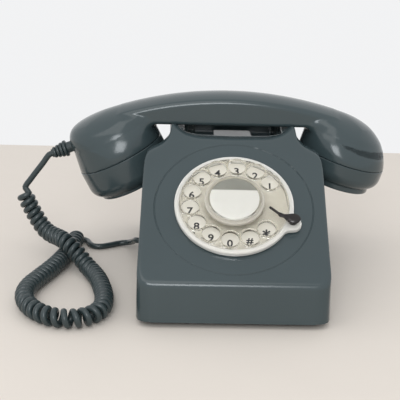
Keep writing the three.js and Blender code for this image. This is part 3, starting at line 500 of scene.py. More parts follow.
def shade(made: bpy.types.Object, shape: Field | None = None, angle: float = 34.0) -> None:
    """Smooth shading with sharp corners kept; a distance gives exact normals on its own surface."""
    mesh = made.data
    mesh.shade_smooth()
    mesh.set_sharp_from_angle(angle=math.radians(angle))
    if shape is None:
        return
    count = len(mesh.vertices)
    points = np.empty(count * 3)
    mesh.vertices.foreach_get("co", points)
    points = points.reshape(-1, 3) / MM
    slope = slope_of(shape, points)
    slope /= np.maximum(np.linalg.norm(slope, axis=1), 1e-9)[:, None]
    on_skin = np.abs(shape(*points.T)) < 0.02
    corner = np.empty(len(mesh.loops) * 3)
    mesh.corner_normals.foreach_get("vector", corner)
    corner = corner.reshape(-1, 3)
    vertex = np.empty(len(mesh.loops), int)
    mesh.loops.foreach_get("vertex_index", vertex)
    exact = slope[vertex]
    use = on_skin[vertex] & ((corner * exact).sum(1) > 0.82)
    corner[use] = exact[use]
    mesh.normals_split_custom_set(corner.tolist())


def dress(made: bpy.types.Object, finish: str, body: str, nodes: Sequence[str] = ()) -> None:
    """Gives a piece its finish, its body and the nodes that it stands for."""
    made.data.materials.clear()
    made.data.materials.append(finish_of(finish))
    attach(made, body)
    if nodes:
        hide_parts(*nodes)
    log.info("%s: %d faces", made.name, len(made.data.polygons))


def boxed(name: str, x: tuple[float, float], y: tuple[float, float], z: tuple[float, float],
          place: Matrix = Matrix.Identity(4)) -> bpy.types.Object:
    """A plain block, used as a cutter."""
    points = [place @ Vector((a, b, c)) for a in x for b in y for c in z]
    return piece(name, points, [(0, 1, 3, 2), (4, 6, 7, 5), (0, 4, 5, 1), (2, 3, 7, 6),
                                (0, 2, 6, 4), (1, 5, 7, 3)])


def spline(points: Sequence[Sequence[float]], step: float) -> np.ndarray:
    """A smooth line through points, with places at an even spacing."""
    knots = np.array(points, float)
    before = np.vstack([2 * knots[0] - knots[1], knots, 2 * knots[-1] - knots[-2]])
    dense = []
    for i in range(len(knots) - 1):
        p0, p1, p2, p3 = before[i:i + 4]
        t0 = 0.0
        t1 = t0 + np.linalg.norm(p1 - p0) ** 0.5
        t2 = t1 + np.linalg.norm(p2 - p1) ** 0.5
        t3 = t2 + np.linalg.norm(p3 - p2) ** 0.5
        t = np.linspace(t1, t2, 40, endpoint=False)[:, None]
        a1 = (t1 - t) / (t1 - t0) * p0 + (t - t0) / (t1 - t0) * p1
        a2 = (t2 - t) / (t2 - t1) * p1 + (t - t1) / (t2 - t1) * p2
        a3 = (t3 - t) / (t3 - t2) * p2 + (t - t2) / (t3 - t2) * p3
        b1 = (t2 - t) / (t2 - t0) * a1 + (t - t0) / (t2 - t0) * a2
        b2 = (t3 - t) / (t3 - t1) * a2 + (t - t1) / (t3 - t1) * a3
        dense.append((t2 - t) / (t2 - t1) * b1 + (t - t1) / (t2 - t1) * b2)
    dense = np.vstack(dense + [knots[-1:]])
    length = np.concatenate([[0], np.cumsum(np.linalg.norm(np.diff(dense, axis=0), axis=1))])
    even = np.linspace(0, length[-1], max(2, round(length[-1] / step) + 1))
    return np.stack([np.interp(even, length, dense[:, axis]) for axis in range(3)], 1)


def frames_along(line: np.ndarray) -> tuple[np.ndarray, np.ndarray, np.ndarray]:
    """Directions along a line and two across it that never twist."""
    along = np.gradient(line, axis=0)
    along /= np.linalg.norm(along, axis=1)[:, None]
    across = np.zeros_like(line)
    side = np.cross(along[0], (0.0, 1.0, 0.0))
    across[0] = side / np.linalg.norm(side)
    for i in range(1, len(line)):
        side = across[i - 1] - along[i] * (across[i - 1] @ along[i])
        across[i] = side / np.linalg.norm(side)
    return along, across, np.cross(along, across)


def hose(name: str, line: np.ndarray, radius: float, sides: int) -> bpy.types.Object:
    """A round tube along a line, closed at both ends."""
    _, u, v = frames_along(line)
    angle = np.arange(sides) * 2 * math.pi / sides
    rings = (line[:, None] + radius * (u[:, None] * np.cos(angle)[None, :, None]
                                       + v[:, None] * np.sin(angle)[None, :, None]))
    index = np.arange(len(line) * sides).reshape(len(line), sides)
    a, b = index[:-1], index[1:]
    quads = np.stack([a, np.roll(a, -1, 1), np.roll(b, -1, 1), b], -1).reshape(-1, 4).tolist()
    made = piece(name, rings.reshape(-1, 3), quads + [index[0][::-1].tolist(), index[-1].tolist()])
    tidy_normals(made)
    return made


# ---------------------------------------------------------------- stage
@dataclass
class Stage:
    """The camera, the lights and the floor."""

    eye: tuple[float, float, float] = (-25.1, -761.5, 303.4)
    azimuth: float = -2.135
    elevation: float = 17.714
    roll: float = 1.813
    lens: float = 98.1
    shift: tuple[float, float] = (-0.0789, -0.0128)
    back_edge: float = 344.0

    def camera(self) -> None:
        """Makes the camera."""
        az, el, roll = (math.radians(a) for a in (self.azimuth, self.elevation, self.roll))
        back = Vector((math.sin(az) * math.cos(el), -math.cos(az) * math.cos(el), math.sin(el)))
        level = Vector((math.cos(az), math.sin(az), 0))
        steep = back.cross(level)
        right = level * math.cos(roll) + steep * math.sin(roll)
        up = steep * math.cos(roll) - level * math.sin(roll)
        data = bpy.data.cameras.new("camera")
        data.lens = self.lens
        data.sensor_width = 36
        data.shift_x, data.shift_y = self.shift
        data.clip_start, data.clip_end = 0.01, 20
        made = bpy.data.objects.new("camera", data)
        turn = Matrix((right, up, back)).transposed().to_4x4()
        made.matrix_world = Matrix.Translation(Vector(self.eye) * MM) @ turn
        bpy.context.scene.collection.objects.link(made)
        bpy.context.scene.camera = made

    def lamp(self, name: str, at: tuple[float, float, float], size: tuple[float, float], power: float,
             colour: tuple[float, float, float], towards: tuple[float, float, float]) -> None:
        """Hangs one soft rectangular lamp; places are in metres."""
        data = bpy.data.lights.new(name, "AREA")
        data.shape = "RECTANGLE"
        data.size, data.size_y = size
        data.energy = power
        data.color = colour
        made = bpy.data.objects.new(name, data)
        made.location = at
        made.rotation_mode = "QUATERNION"
        made.rotation_quaternion = (Vector(towards) - Vector(at)).to_track_quat("-Z", "Y")
        bpy.context.scene.collection.objects.link(made)

    def floor(self) -> bpy.types.Object:
        """The floor the telephone stands on."""
        corners = [(-2600, -1700), (2600, -1700), (2600, self.back_edge), (-2600, self.back_edge)]
        made = piece("floor", [(x, y, 0) for x, y in corners], [(0, 1, 2, 3)])
        made.data.materials.append(finish_of("floor"))
        return made

    def build(self) -> None:
        """Makes everything round the telephone."""
        self.camera()
        self.lamp("window", (-0.15, -1.5, 0.85), (0.62, 0.62), 9, (0.93, 0.97, 1.0), (0, 0, 0.08))
        self.lamp("over", (-0.5, -0.9, 1.8), (1.4, 1.2), 6, (1.0, 0.99, 0.97), (0, 0, 0.05))
        world = bpy.data.worlds.new("room")
        world.use_nodes = True
        back = world.node_tree.nodes["Background"]
        back.inputs["Color"].default_value = (0.985, 0.99, 1.0, 1)
        back.inputs["Strength"].default_value = 0.9
        bpy.context.scene.world = world
        bpy.context.scene.view_settings.view_transform = "Standard"
        self.floor()
        log.info("stage built")


# ---------------------------------------------------------------- case
SLOPE = math.radians(36.0)
DIAL_PLACE = (Matrix.Translation(Vector((CASE_X, -51.61, 67.67))) @ Matrix.Rotation(SLOPE, 4, "X"))


@dataclass
class Case:
    """The telephone's shell, with its horns, cup wells, cradle and carrying pocket."""

    half_width: float = 65.7
    half_depth: float = 105.0
    bottom: float = 4.0
    corner: float = 13.0
    wall: float = 2.5
    gap: float = 0.3
    draft: float = 0.00029
    face_rounding: float = 1.5
    side_rounding: float = 3.2
    groove: float = 54.7
    pitch: float = 0.9
    finish: str = "grey_shell"
    body: str = "base"

    def __post_init__(self) -> None:
        """Works out the two outlines."""
        below = -40.0
        ridge_y, ridge_z, top = -102.5, 30.7, 111.0
        run = (ridge_y + self.half_depth) / (ridge_z - self.bottom)
        face = ridge_y + (top - ridge_z) / math.tan(SLOPE)
        self.side = Outline([
            (ridge_y + self.gap - run * (ridge_z - below), below), (self.half_depth + run * 44, below),
            (self.half_depth - self.gap, self.bottom), (96, 40, 12), (57, top, 6),
            (face, top, 1.6), (ridge_y + self.gap, ridge_z, 3)], (-116, -8), (116, 122))
        half = [(66.2, below), (self.half_width - 1, 93.9, 9), (50, 99.9, 2.4), (46.1, 103.7, 2),
                (44.5, 111.2, 1.8), (36, 105.5, 4.2), (26, 103.3, 4.6)]
        mirrored = [(-corner[0], *corner[1:]) for corner in reversed(half)]
        self.front = Outline([*half, (0, 102.8), *mirrored], (-2, -8), (80, 122))

    def form(self, x: np.ndarray, y: np.ndarray, z: np.ndarray) -> np.ndarray:
        """The distance to the shell's outer surface."""
        x = np.abs(x - CASE_X)
        rise = np.maximum(z - self.bottom, 0)
        straight = x / (1 - self.draft * rise)
        qx, qy = straight - (self.half_width - self.corner), np.abs(y) - (self.half_depth - self.corner)
        plan = (np.hypot(np.maximum(qx, 0), np.maximum(qy, 0)) + np.minimum(np.maximum(qx, qy), 0)
                - self.corner)
        form = both(both(self.side(y, z), self.front(x, z), self.face_rounding), plan, self.side_rounding)
        wx, wy = x - 74.6, y - HAND_Y
        rx, ry = 34.6, 36.3
        k0 = np.sqrt((wx / rx) ** 2 + (wy / ry) ** 2)
        k1 = np.sqrt((wx / rx ** 2) ** 2 + (wy / ry ** 2) ** 2)
        round_well = k0 * (k0 - 1) / np.maximum(k1, 1e-6)
        round_well = either(round_well, both(47 - x, HAND_Y - y, 1.0), 4.0)
        above = (56 + 0.45 * (self.half_width - x) - z) * 0.912
        form = without(form, both(round_well, above, 5.0), 1.6)
        channel = both(both(slab(x, -35.2, 35.2), slab(y, 8, 54), 1.5), 93 - z, 1.2)
        form = without(form, channel, 1.2)
        pad = both(both(slab(x, -14.5, 14.5), slab(y, HAND_Y - 11, HAND_Y + 11), 2.0), z - 99, 1.2)
        form = either(form, both(pad, 80 - z, 0.5), 1.0)
        pocket = both(both(slab(x, -36, 36), 63 - y, 3.0), slab(z, 66, 88), 3.0)
        form = without(form, pocket, 1.6)
        return np.maximum(form, self.bottom - z)

    def hollow(self, x: np.ndarray, y: np.ndarray, z: np.ndarray) -> np.ndarray:
        """The space inside the shell, open below."""
        return self.form(x, y, np.maximum(z, self.bottom + self.wall)) + self.wall

    def build(self) -> None:
        """Makes the shell."""
        low, high = (CASE_X - 69, -108, 0.0), (CASE_X + 69, 108, 114)
        shell = skin("case_shell", self.form, low, high, self.pitch)
        inside = skin("inside", self.hollow, (low[0], low[1], -8), high, 2.2)
        x, y = CASE_X, HAND_Y
        tools = [
            inside,
            lathe("aperture", [(0, -20), (38.2, -20), (38.2, 20), (0, 20)], 144, DIAL_PLACE),
            lathe("groove", [(self.groove - 0.7, 4), (self.groove - 0.7, 0.02), (self.groove - 0.2, -0.5),
                             (self.groove + 0.2, -0.5), (self.groove + 0.7, 0.02), (self.groove + 0.7, 4)], 240, DIAL_PLACE),
            boxed("jack", (x - 76, x - 56), (22.0, 32.0), (9.3, 16.7)),
            boxed("line", (x + 34.8, x + 45.2), (92, 116), (9.2, 16.8)),
            boxed("volume", (x - 36.7, x - 23.3), (92, 116), (20.5, 25.5)),
        ]
        for way in (-1, 1):
            middle = x + way * 31
            tools.append(boxed("slot", (middle - 3.5, middle + 3.5), (y - 5.5, y + 5.5), (80, 95)))
        combine(shell, tools)
        shade(shell, self.form)
        dress(shell, self.finish, self.body, ["case"])
        for name, way in (("left", -1), ("right", 1)):
            self.plunger(name, x + way * 31)

    def plunger(self, name: str, middle: float) -> None:
        """Makes one button of the cradle switch."""
        def form(x: np.ndarray, y: np.ndarray, z: np.ndarray) -> np.ndarray:
            """The button's rounded stem above its flange."""
            px, py = np.abs(x - middle), np.abs(y - HAND_Y)
            stem = both(both(px - 3, py - 5, 0.8), slab(z, 84, 108), 1.0)
            flange = both(both(px - 4.6, py - 6.6, 0.6), slab(z, 83, 86), 0.5)
            return either(stem, flange, 0.4)
        made = skin(f"plunger_{name}", form, (middle - 6, HAND_Y - 8, 81), (middle + 6, HAND_Y + 8, 110), 0.4)
        shade(made, form)
        dress(made, "clear", f"plunger_{name}", [f"hook_plunger_{name}"])


# ---------------------------------------------------------------- handset
@dataclass(frozen=True)
class Cup:
    """One end of the handset: where its cap's face is, how it leans, and how deep its cap is."""

    x: float
    z: float
    tilt: float
    radius: float
    seam: float
    lip: float

    def matrix(self) -> Matrix:
        """From the cup's own axes to the telephone's."""
        return (Matrix.Translation(Vector((self.x, HAND_Y, self.z)))
                @ Matrix.Rotation(math.radians(self.tilt), 4, "Y"))

    def place(self, across: float, up: float) -> tuple[float, float]:
        """A place in X and Z from its distance across and up the cup."""
        c, s = math.cos(math.radians(self.tilt)), math.sin(math.radians(self.tilt))
        return self.x + across * c + up * s, self.z - across * s + up * c

    def own(self, x: np.ndarray, z: np.ndarray) -> tuple[np.ndarray, np.ndarray]:
        """Distances across and up the cup."""
        c, s = math.cos(math.radians(self.tilt)), math.sin(math.radians(self.tilt))
        return (x - self.x) * c - (z - self.z) * s, (x - self.x) * s + (z - self.z) * c


MOUTH = Cup(-69.1, 61.3, -27.0, 33.3, 24.2, 1.6)
EAR = Cup(81.4, 68.0, 17.0, 33.5, 17.0, 3.6)


@dataclass
class Handset:
    """The handset: a bent grip that widens into two cups, with a cap on each."""

    top: float = 130.6
    bend: float = 270.0
    underside: float = 108.3
    grip: float = 17.0
    grip_edge: float = 2.6
    cup_edge: float = 9.0
    crown: float = 36.0
    pitch: float = 0.8
    boot_root: float = 6.2
    boot_tip: float = 4.2
    finish: str = "grey_shell"
    body: str = "handset"
    bores: dict = field(default_factory=lambda: {
        "mouthpiece": ((0, 1), (7, 6), (14, 12)), "earpiece": ((0, 1), (6, 6))})

    def __post_init__(self) -> None:
        """Works out the outline that trims the cups."""
        out = 0.4
        self.trim = Outline([
            MOUTH.place(-MOUTH.radius - out, -20), MOUTH.place(MOUTH.radius + out, -20), (0, 20),
            EAR.place(-EAR.radius - out, -20), EAR.place(EAR.radius + out, -20),
            EAR.place(EAR.radius + out, EAR.seam - 0.5),
            (*EAR.place(EAR.radius - 4.0, EAR.seam + 23.0), 23, 34),
            (60, self.top + 8, 20), (-60, self.top + 8, 20),
            (*MOUTH.place(0.6 - MOUTH.radius, MOUTH.seam + 33.1), 28, 13.3)], (-130, 40), (130, 142))

    def form(self, x: np.ndarray, y: np.ndarray, z: np.ndarray) -> np.ndarray:
        """The distance to the handle's outer surface."""
        y = np.abs(y - HAND_Y)
        ring = np.hypot(x, z - (self.top - self.bend)) - self.bend
        profile = both(ring, self.trim(x, z), 4.0)
        mouth_side = x < 0
        across, up = MOUTH.own(x, z)
        across_ear, up_ear = EAR.own(x, z)
        cup = np.where(mouth_side, np.hypot(across, y) - MOUTH.radius, np.hypot(across_ear, y) - EAR.radius)
        above = np.where(mouth_side, up - MOUTH.seam, up_ear - EAR.seam)

        def crowned(sink: np.ndarray, radius: float) -> np.ndarray:
            """The distance to the profile, sunk and rounded across the handset."""
            return np.hypot(np.maximum(profile + sink + radius, 0), y) - radius

        def eased(low: float, high: float) -> np.ndarray:
            """A smooth step from 0 to 1 along the handset."""
            share = np.clip((np.abs(x) - low) / (high - low), 0, 1)
            return share * share * (3 - 2 * share)
        side = both(y - self.grip, slab(x, MOUTH.x - 22, EAR.x + 18), 5.0)
        bar = both(both(crowned(7 * eased(78, 100), 44), side, self.grip_edge), self.underside - z, 3.0)
        edge = 0.6 + self.cup_edge * np.clip(above / 16, 0, 1)
        ends = both(crowned(4.5 * (1 - eased(52, 80)), self.crown), cup, edge)
        depth = np.clip((-profile - 3) / 7, 0, 1)
        whole = either(bar, ends, 0.4 + 6 * depth * depth * (3 - 2 * depth))
        return both(whole, np.where(cup < 3, -above, -50.0), 0.5)

    def hollow(self, x: np.ndarray, y: np.ndarray, z: np.ndarray) -> np.ndarray:
        """The space inside the cups, open at the seam."""
        inside = np.full(np.broadcast_shapes(x.shape, y.shape, z.shape), 50.0)
        for cup in (MOUTH, EAR):
            across, up = cup.own(x, z)
            bore = np.hypot(across, y - HAND_Y) - (cup.radius - 3)
            inside = np.minimum(inside, both(bore, slab(up, cup.seam - 8, cup.seam + 14), 1.0))
        return inside

    def cap(self, name: str, cup: Cup) -> None:
        """Makes one cap, with its lip and its bores."""
        wall, edge, lip_out, lip_in, drop = 2.4, 9.5, 27.5, 24.3, cup.lip
        outer, top = cup.radius, cup.seam - 0.3
        def arc(radius: float, steps: int) -> list[tuple[float, float]]:
            """A quarter turn from the face out to the side."""
            turn = [math.pi / 2 * i / steps for i in range(steps + 1)]
            return [(outer - edge + radius * math.sin(a), edge - radius * math.cos(a)) for a in turn]
        crest = [(lip_in + 1.4 - 1.4 * math.cos(a), -drop + 1.4 - 1.4 * math.sin(a))
                 for a in np.linspace(0, math.pi / 2, 6)]
        crest += [(lip_out - 1.2 + 1.2 * math.sin(a), -drop + 1.2 - 1.2 * math.cos(a))
                  for a in np.linspace(0, math.pi / 2, 6)]
        outside = [p for p in arc(edge, 16) if p[0] > lip_out + 0.3]
        profile = ([(0, 0), (lip_in - 1.2, 0)] + crest + [(lip_out, 0.1)]
                   + outside + [(outer, top - 0.5), (outer - 0.5, top), (outer - wall, top)]
                   + arc(edge - wall, 8)[::-1] + [(0, wall)])
        made = lathe(f"{name}_cap", profile, 128, cup.matrix())
        drills = []
        for radius, count in self.bores[name]:
            for i in range(count):
                angle = 2 * math.pi * i / count
                spot = cup.matrix() @ Matrix.Translation(
                    (radius * math.cos(angle), radius * math.sin(angle), 0))
                drills.append(lathe("drill", [(0, -6), (1.9, -6), (1.9, -0.4), (1.4, 0.3), (1.4, 6), (0, 6)],
                                    20, spot))
        combine(made, drills)
        shade(made)
        dress(made, self.finish, self.body, [f"{name}_cap"])

    def boot(self, tip: Vector) -> bpy.types.Object:
        """Makes the ribbed sleeve that the cord leaves by."""
        root = Vector((MOUTH.place(-MOUTH.radius, 44)[0], HAND_Y, MOUTH.place(-MOUTH.radius, 44)[1]))
        away = tip - root
        turn = Vector((0, 0, 1)).rotation_difference(away.normalized()).to_matrix().to_4x4()
        length = away.length
        profile = [(0, -5), (self.boot_root - 2, -5), (self.boot_root - 2, 0.6)]
        for i in range(4):
            start = 1.2 + i * (length - 2) / 4
            radius = self.boot_root + (self.boot_tip - self.boot_root) * i / 3
            profile += [(radius - 1, start - 0.2), (radius - 0.3, start), (radius, start + 0.5),
                        (radius, start + 1.5), (radius - 0.3, start + 2.0), (radius - 1, start + 2.2)]
        profile += [(self.boot_tip - 1, length - 0.3), (0, length - 0.3)]
        made = lathe("handset_boot_ribbed", profile, 40, Matrix.Translation(root) @ turn)
        shade(made, angle=50)
        dress(made, "grey_cord", self.body, ["handset_boot"])
        return made

    def build(self) -> None:
        """Makes the handle and its two caps."""
        handle = skin("handle", self.form, (-126, HAND_Y - 38, 62), (126, HAND_Y + 38, 134), self.pitch)
        inside = skin("inside", self.hollow, (-126, HAND_Y - 38, 40), (126, HAND_Y + 38, 134), 1.6)
        combine(handle, [inside])
        shade(handle, self.form)
        dress(handle, self.finish, self.body, ["handset_handle"])
        self.cap("mouthpiece", MOUTH)
        self.cap("earpiece", EAR)


# ---------------------------------------------------------------- dial
@dataclass
class Dial:
    """The dial: a bezel, a number plate, a clear finger wheel, its hub and label, and the stop."""

    hole_count: int = 12
    hole_circle: float = 30.5
    hole_radius: float = 6.2
    first_hole: float = 35.4
    hole_step: float = 25.46
    wheel_low: float = 4.0
    wheel_top: float = 6.2
    wheel_radius: float = 37.2
    digit_circle: float = 30.6
    digit_height: float = 5.6
    characters: str = "1234567890#*"

    def at(self, radius: float, degrees: float, height: float = 0.0) -> Matrix:
        """A place on the dial, upright."""
        angle = math.radians(degrees)
        return DIAL_PLACE @ Matrix.Translation((radius * math.cos(angle), radius * math.sin(angle), height))

    def on_dial(self, x: np.ndarray, y: np.ndarray, z: np.ndarray) -> list[np.ndarray]:
        """Places in the dial's own axes, in its plane and above it."""
        turn = np.array(DIAL_PLACE.inverted())
        return [turn[i, 0] * x + turn[i, 1] * y + turn[i, 2] * z + turn[i, 3] for i in range(3)]

    def bezel(self) -> None:
        """Makes the rim and the lug that carries the stop."""
        angle = math.radians(-21)
        lug_u, lug_v = 43 * math.cos(angle), 43 * math.sin(angle)

        def form(x: np.ndarray, y: np.ndarray, z: np.ndarray) -> np.ndarray:
            """The distance to the rim and its lug."""
            u, v, w = self.on_dial(x, y, z)
            radius = np.hypot(u, v)
            lug = np.hypot(u - lug_u, v - lug_v) - 5.5
            rim = both(either(radius - 41, lug, 5.0), slab(w, 0.3, 4.5), 1.2)
            return both(rim, 37.7 - radius, 0.5)
        middle = DIAL_PLACE @ Vector((0, 0, 2.4))
        low = [middle[0] - 43, middle[1] - 37, middle[2] - 28]
        high = [middle[0] + 50, middle[1] + 37, middle[2] + 28]
        rim = skin("dial_rim", form, low, high, 0.5)
        shade(rim, form)
        dress(rim, "frosted", "base", ["dial_bezel"])

    def plate(self) -> None:
        """Makes the number plate and its printed characters."""
        plate = lathe("number_disc", [(3.5, -0.6), (37.65, -0.6), (37.65, 0.5), (37.4, 0.8), (3.5, 0.8)],
                      128, DIAL_PLACE)
        shade(plate)
        dress(plate, "cream", "base", ["number_plate"])
        points, faces = [], []
        for i, character in enumerate(self.characters):
            text = bpy.data.curves.new("digit", "FONT")
            text.body = character
            text.align_x = "CENTER"
            text.size = 1.0
            text.extrude = 0.02
            text.offset = 0.022
            text.resolution_u = 4
            holder = bpy.data.objects.new("digit", text)
            bpy.context.scene.collection.objects.link(holder)
            graph = bpy.context.evaluated_depsgraph_get()
            mesh = bpy.data.meshes.new_from_object(holder.evaluated_get(graph))
            corners = np.array([v.co for v in mesh.vertices])
            tall = 0.72
            middle = (corners[:, 1].max() + corners[:, 1].min()) / 2
            scale = self.digit_height / tall * {"#": 0.95, "*": 1.5}.get(character, 1.0)
            place = self.at(self.digit_circle, self.first_hole + i * self.hole_step, 0.86)
            first = len(points)
            for x, y, z in corners:
                points.append(place @ Vector((x * scale * 1.05, (y - middle) * scale, z * 3)))
            faces += [[first + v for v in face.vertices] for face in mesh.polygons]
            bpy.data.objects.remove(holder)
        digits = piece("dial_characters", points, faces)
        dress(digits, "digits", "base")

    def wheel(self) -> None:
        """Makes the clear wheel with a raised rim round each hole."""
        low, top, radius = self.wheel_low, self.wheel_top, self.wheel_radius
        made = lathe("clear_wheel", [
            (0, low), (radius - 0.5, low), (radius, low + 0.5), (radius, top - 0.2), (radius - 0.3, top + 0.25),
            (radius - 0.8, top + 0.3), (radius - 1.3, top), (radius - 1.6, top - 0.1), (0, top - 0.1)],
            160, DIAL_PLACE)
        drills, rims = [], []
        for i in range(self.hole_count):
            spot = self.at(self.hole_circle, self.first_hole + i * self.hole_step)
            drills.append(lathe("drill", [(0, 0), (self.hole_radius, 0), (self.hole_radius, 9), (0, 9)], 48, spot))
            inner, outer = self.hole_radius, self.hole_radius + 1.0
            if i != 0:
                outer = self.hole_radius + 0.9
            rims.append(lathe(f"hole_rim_{i + 1}", [
                (inner, low + 0.2), (outer, low + 0.2), (outer, top + 0.1), (outer - 0.25, top + 0.42),
                (inner + 0.3, top + 0.5), (inner, top + 0.25)], 48, spot))
        combine(made, drills)
        shade(made)
        dress(made, "clear", "dial_wheel", ["finger_wheel"])
        for rim in rims:
            shade(rim)
            dress(rim, "clear", "dial_wheel")

    def hub(self) -> None:
        """Makes the collar, the label and its cover."""
        collar = lathe("hub_collar", [
            (0, 6.5), (20.2, 6.5), (20.6, 6.9), (20.6, 8.6), (20.3, 9.0), (19.7, 9.15), (19.2, 9.1),
            (19.0, 9.5), (18.7, 9.9), (18.3, 10.0), (17.6, 10.0), (17.2, 9.8), (17.2, 9.0), (0, 9.0)],
            120, DIAL_PLACE)
        shade(collar)
        dress(collar, "beige_clear", "dial_wheel", ["dial_hub"])
        label = lathe("label_disc", [(0, 9.3), (16.7, 9.3), (16.9, 9.5), (16.9, 9.9), (16.7, 10.0), (0, 10.0)],
                      96, DIAL_PLACE)
        shade(label)
        dress(label, "card", "dial_wheel", ["label_card"])
        cover = lathe("label_window", edge_round(0, 18.4, 10.3, 11.6, 0.6), 96, DIAL_PLACE)
        shade(cover)
        dress(cover, "clear", "dial_wheel", ["label_cover"])

    def stop(self) -> None:
        """Makes the chrome finger stop: a tapered blade on a round post; its colour is darkened as a painted
        reflection of a dark room.
        """
        tip, knee, post = (np.array(place) for place in ((24.3, -5.7), (31.3, -11.7), (39.7, -14.7)))

        def limb(u: np.ndarray, v: np.ndarray, ends: tuple, half: float) -> np.ndarray:
            """The distance to a round-ended strip between two places."""
            run = ends[1] - ends[0]
            share = np.clip(((u - ends[0][0]) * run[0] + (v - ends[0][1]) * run[1]) / (run @ run), 0, 1)
            return np.hypot(u - ends[0][0] - share * run[0], v - ends[0][1] - share * run[1]) - half

        def form(x: np.ndarray, y: np.ndarray, z: np.ndarray) -> np.ndarray:
            """The distance to the blade and its post."""
            u, v, w = self.on_dial(x, y, z)
            arm = either(limb(u, v, (tip, knee), 0.85), limb(u, v, (knee, post), 1.3), 1.5)
            spoon = np.hypot((u - post[0]) / 1.2, v - post[1]) - 3.9
            blade = both(either(arm, spoon, 3.0), slab(w, 7.6, 9.1), 0.6)
            knob = both(spoon, slab(w, 7.6, 10.0), 1.8)
            stem = np.maximum(np.hypot(u - post[0], v - post[1]) - 3.0, slab(w, 4.8, 8.6))
            return either(either(blade, knob, 0.8), stem, 0.3)
        centre = DIAL_PLACE @ Vector((*((post + tip) / 2), 8))
        low = [centre[0] - 15, centre[1] - 12, centre[2] - 11]
        high = [centre[0] + 15, centre[1] + 12, centre[2] + 11]
        made = skin("stop_blade", form, low, high, 0.3)
        shade(made, form)
        # the finish's dark colour is a painted reflection of a dark room, not the metal's own colour
        dress(made, "chrome", "base", ["finger_stop"])

    def build(self) -> None:
        """Makes the whole dial."""
        self.bezel()
        self.plate()
        self.wheel()
        self.hub()
        self.stop()


# ---------------------------------------------------------------- cord
ROUTE_BOOT = [
    (-131.2, 29.5, 80.3), (-133.2, 29.5, 79.4), (-135.6, 29.5, 76.4), (-138.3, 29.5, 72.4),
    (-143.5, 29.7, 65.5), (-148.4, 29.7, 58.8), (-150.8, 29.6, 55.6), (-151.7, 29.5, 53.8),
]
ROUTE_CURL = [
    (-151.9, 29.5, 53.4), (-152.4, 29.4, 51.6), (-151.2, 28.6, 45.9), (-147.6, 27.5, 38.3),
    (-142.2, 25, 29.4), (-136.6, 21, 23.2), (-130.7, 15.5, 21), (-123.9, 7.5, 21.2), (-118.2, -0.5, 21),
    (-112.6, -6, 17.9), (-107.2, -10, 13.4), (-102.4, -15, 9.2), (-97.3, -22.2, 6.9),
    (-91.4, -37.2, 6.9), (-87.2, -53.6, 6.9), (-84.6, -67.7, 6.9), (-84, -82.1, 6.9),
    (-86.3, -93.2, 6.9), (-91.6, -101, 6.9), (-100.8, -105.6, 6.9), (-112.6, -104.8, 6.9),
    (-122.6, -99, 6.9), (-131.4, -88.8, 6.9), (-137.2, -76.4, 6.9), (-139.2, -62.8, 6.9),
    (-137.7, -50.4, 6.9), (-133.9, -38.1, 6.9), (-129, -23.6, 6.9), (-124.7, -9.6, 6.9),
    (-121.3, 4.6, 6.9), (-118.3, 19.4, 6.9), (-116.6, 34.8, 6.9), (-115.8, 48.6, 6.9),
]
ROUTE_JACK = [
    (-115.7, 49.5, 6.8), (-115.5, 51.2, 6.2), (-114.9, 53.2, 4.6), (-112.4, 55, 3), (-107.9, 53.2, 2.3),
    (-104.9, 46, 2.3), (-101, 41.6, 2.3), (-95.5, 41.6, 2.3), (-88.6, 45.4, 2.3),
    (-81.6, 49.4, 2.4), (-75.4, 48.6, 3.4), (-71.4, 42.4, 6.4), (-69.4, 34.4, 10.4),
    (-67.8, 29.2, 12.6), (-66.6, 27.4, 13), (-64.5, 27, 13),
]


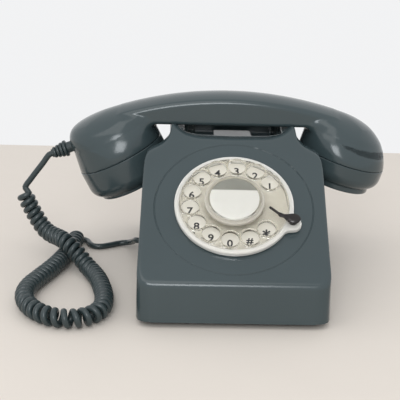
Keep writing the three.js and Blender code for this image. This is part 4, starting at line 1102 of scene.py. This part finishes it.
@dataclass
class CurlyCord:
    """The handset's cord: straight at both ends, and wound into close curls between them."""

    wire: float = 4.5
    coil_radius: float = 4.45
    pitch: float = 4.95
    open_pitch: float = 1.5
    steps_per_turn: int = 28
    sides: int = 12
    ramp: float = 3.0

    def line(self) -> np.ndarray:
        """The wire's centreline, with an even number of places for each turn."""
        axis = spline([*ROUTE_BOOT, *ROUTE_CURL, *ROUTE_JACK], 0.12)
        along = np.concatenate([[0], np.cumsum(np.linalg.norm(np.diff(axis, axis=0), axis=1))])

        def reached(point: Sequence[float], after: int = 0) -> int:
            """The index of the axis place nearest a route point."""
            return after + int(np.argmin(np.linalg.norm(axis[after:] - np.array(point), axis=1)))
        start = reached(ROUTE_CURL[0])
        stop = reached(ROUTE_CURL[-1], start + 50)
        inside = np.clip(np.minimum(along - along[start], along[stop] - along) / self.ramp, 0, 1)
        swell = inside * inside * (3 - 2 * inside)
        front = np.clip((-55 - axis[:, 1]) / 45, 0, 1)
        pitch = self.pitch + self.open_pitch * front * front * (3 - 2 * front)
        turning = np.where((along >= along[start]) & (along <= along[stop]), 1 / pitch, 0)
        turns = np.concatenate([[0], np.cumsum((turning[1:] + turning[:-1]) / 2 * np.diff(along))])
        progress = turns * self.steps_per_turn + along * (1 - swell) / 1.2
        progress = np.maximum.accumulate(progress) + np.arange(len(along)) * 1e-6
        count = int(progress[-1])
        even = np.linspace(progress[0], progress[-1], count)
        position = np.interp(even, progress, along)
        _, u, v = frames_along(axis)
        def sample(values: np.ndarray) -> np.ndarray:
            """Values along the axis, read at the even places."""
            return np.stack([np.interp(position, along, values[:, i]) for i in range(values.shape[1])], 1)
        phase = np.interp(position, along, turns) * 2 * math.pi
        radius = (np.interp(position, along, swell) * self.coil_radius)[:, None]
        return sample(axis) + radius * (sample(u) * np.cos(phase)[:, None] + sample(v) * np.sin(phase)[:, None])

    def build(self, handset: Handset) -> None:
        """Makes the cord and the boot on its upper end."""
        boot = handset.boot(Vector(ROUTE_BOOT[0]))
        line = self.line()
        cord = hose("curly_cord", line, self.wire / 2, self.sides)
        shade(cord, angle=60)
        cord.data.materials.append(finish_of("grey_cord"))
        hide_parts("cord_to_handset", "cord_curl", "cord_to_base")
        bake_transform(cord)


# ---------------------------------------------------------------- parts kept from the frame
KEPT = {
    "rubber": ("foot_",),
    "steel": ("case_screw_", "dial_spindle", "return_spring", "hook_pin", "hook_frame", "hook_lever",
              "ringer_frame", "gong_", "clapper", "microphone_capsule", "receiver_capsule",
              "handset_weight"),
    "zinc": ("dial_frame",),
    "brass": ("main_gear", "governor"),
    "copper": ("ringer_coil",),
    "clear": ("handset_plug",),
    "board": ("circuit_board",),
    "grey_shell": ("base_plate",),
    "black_plastic": ("impulse_contacts", "hook_switch", "handset_socket", "line_socket", "ringer_volume"),
}


def dress_kept() -> None:
    """Gives every node that stays its finish."""
    for name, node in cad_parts.items():
        for finish, starts in KEPT.items():
            if name.startswith(starts):
                node.data.materials.clear()
                node.data.materials.append(finish_of(finish))
                shade(node, angle=40)


def main() -> None:
    """Builds the telephone."""
    Stage().build()
    handset = Handset()
    CurlyCord().build(handset)
    Case().build()
    handset.build()
    Dial().build()
    dress_kept()


if __name__ == "__main__":
    main()
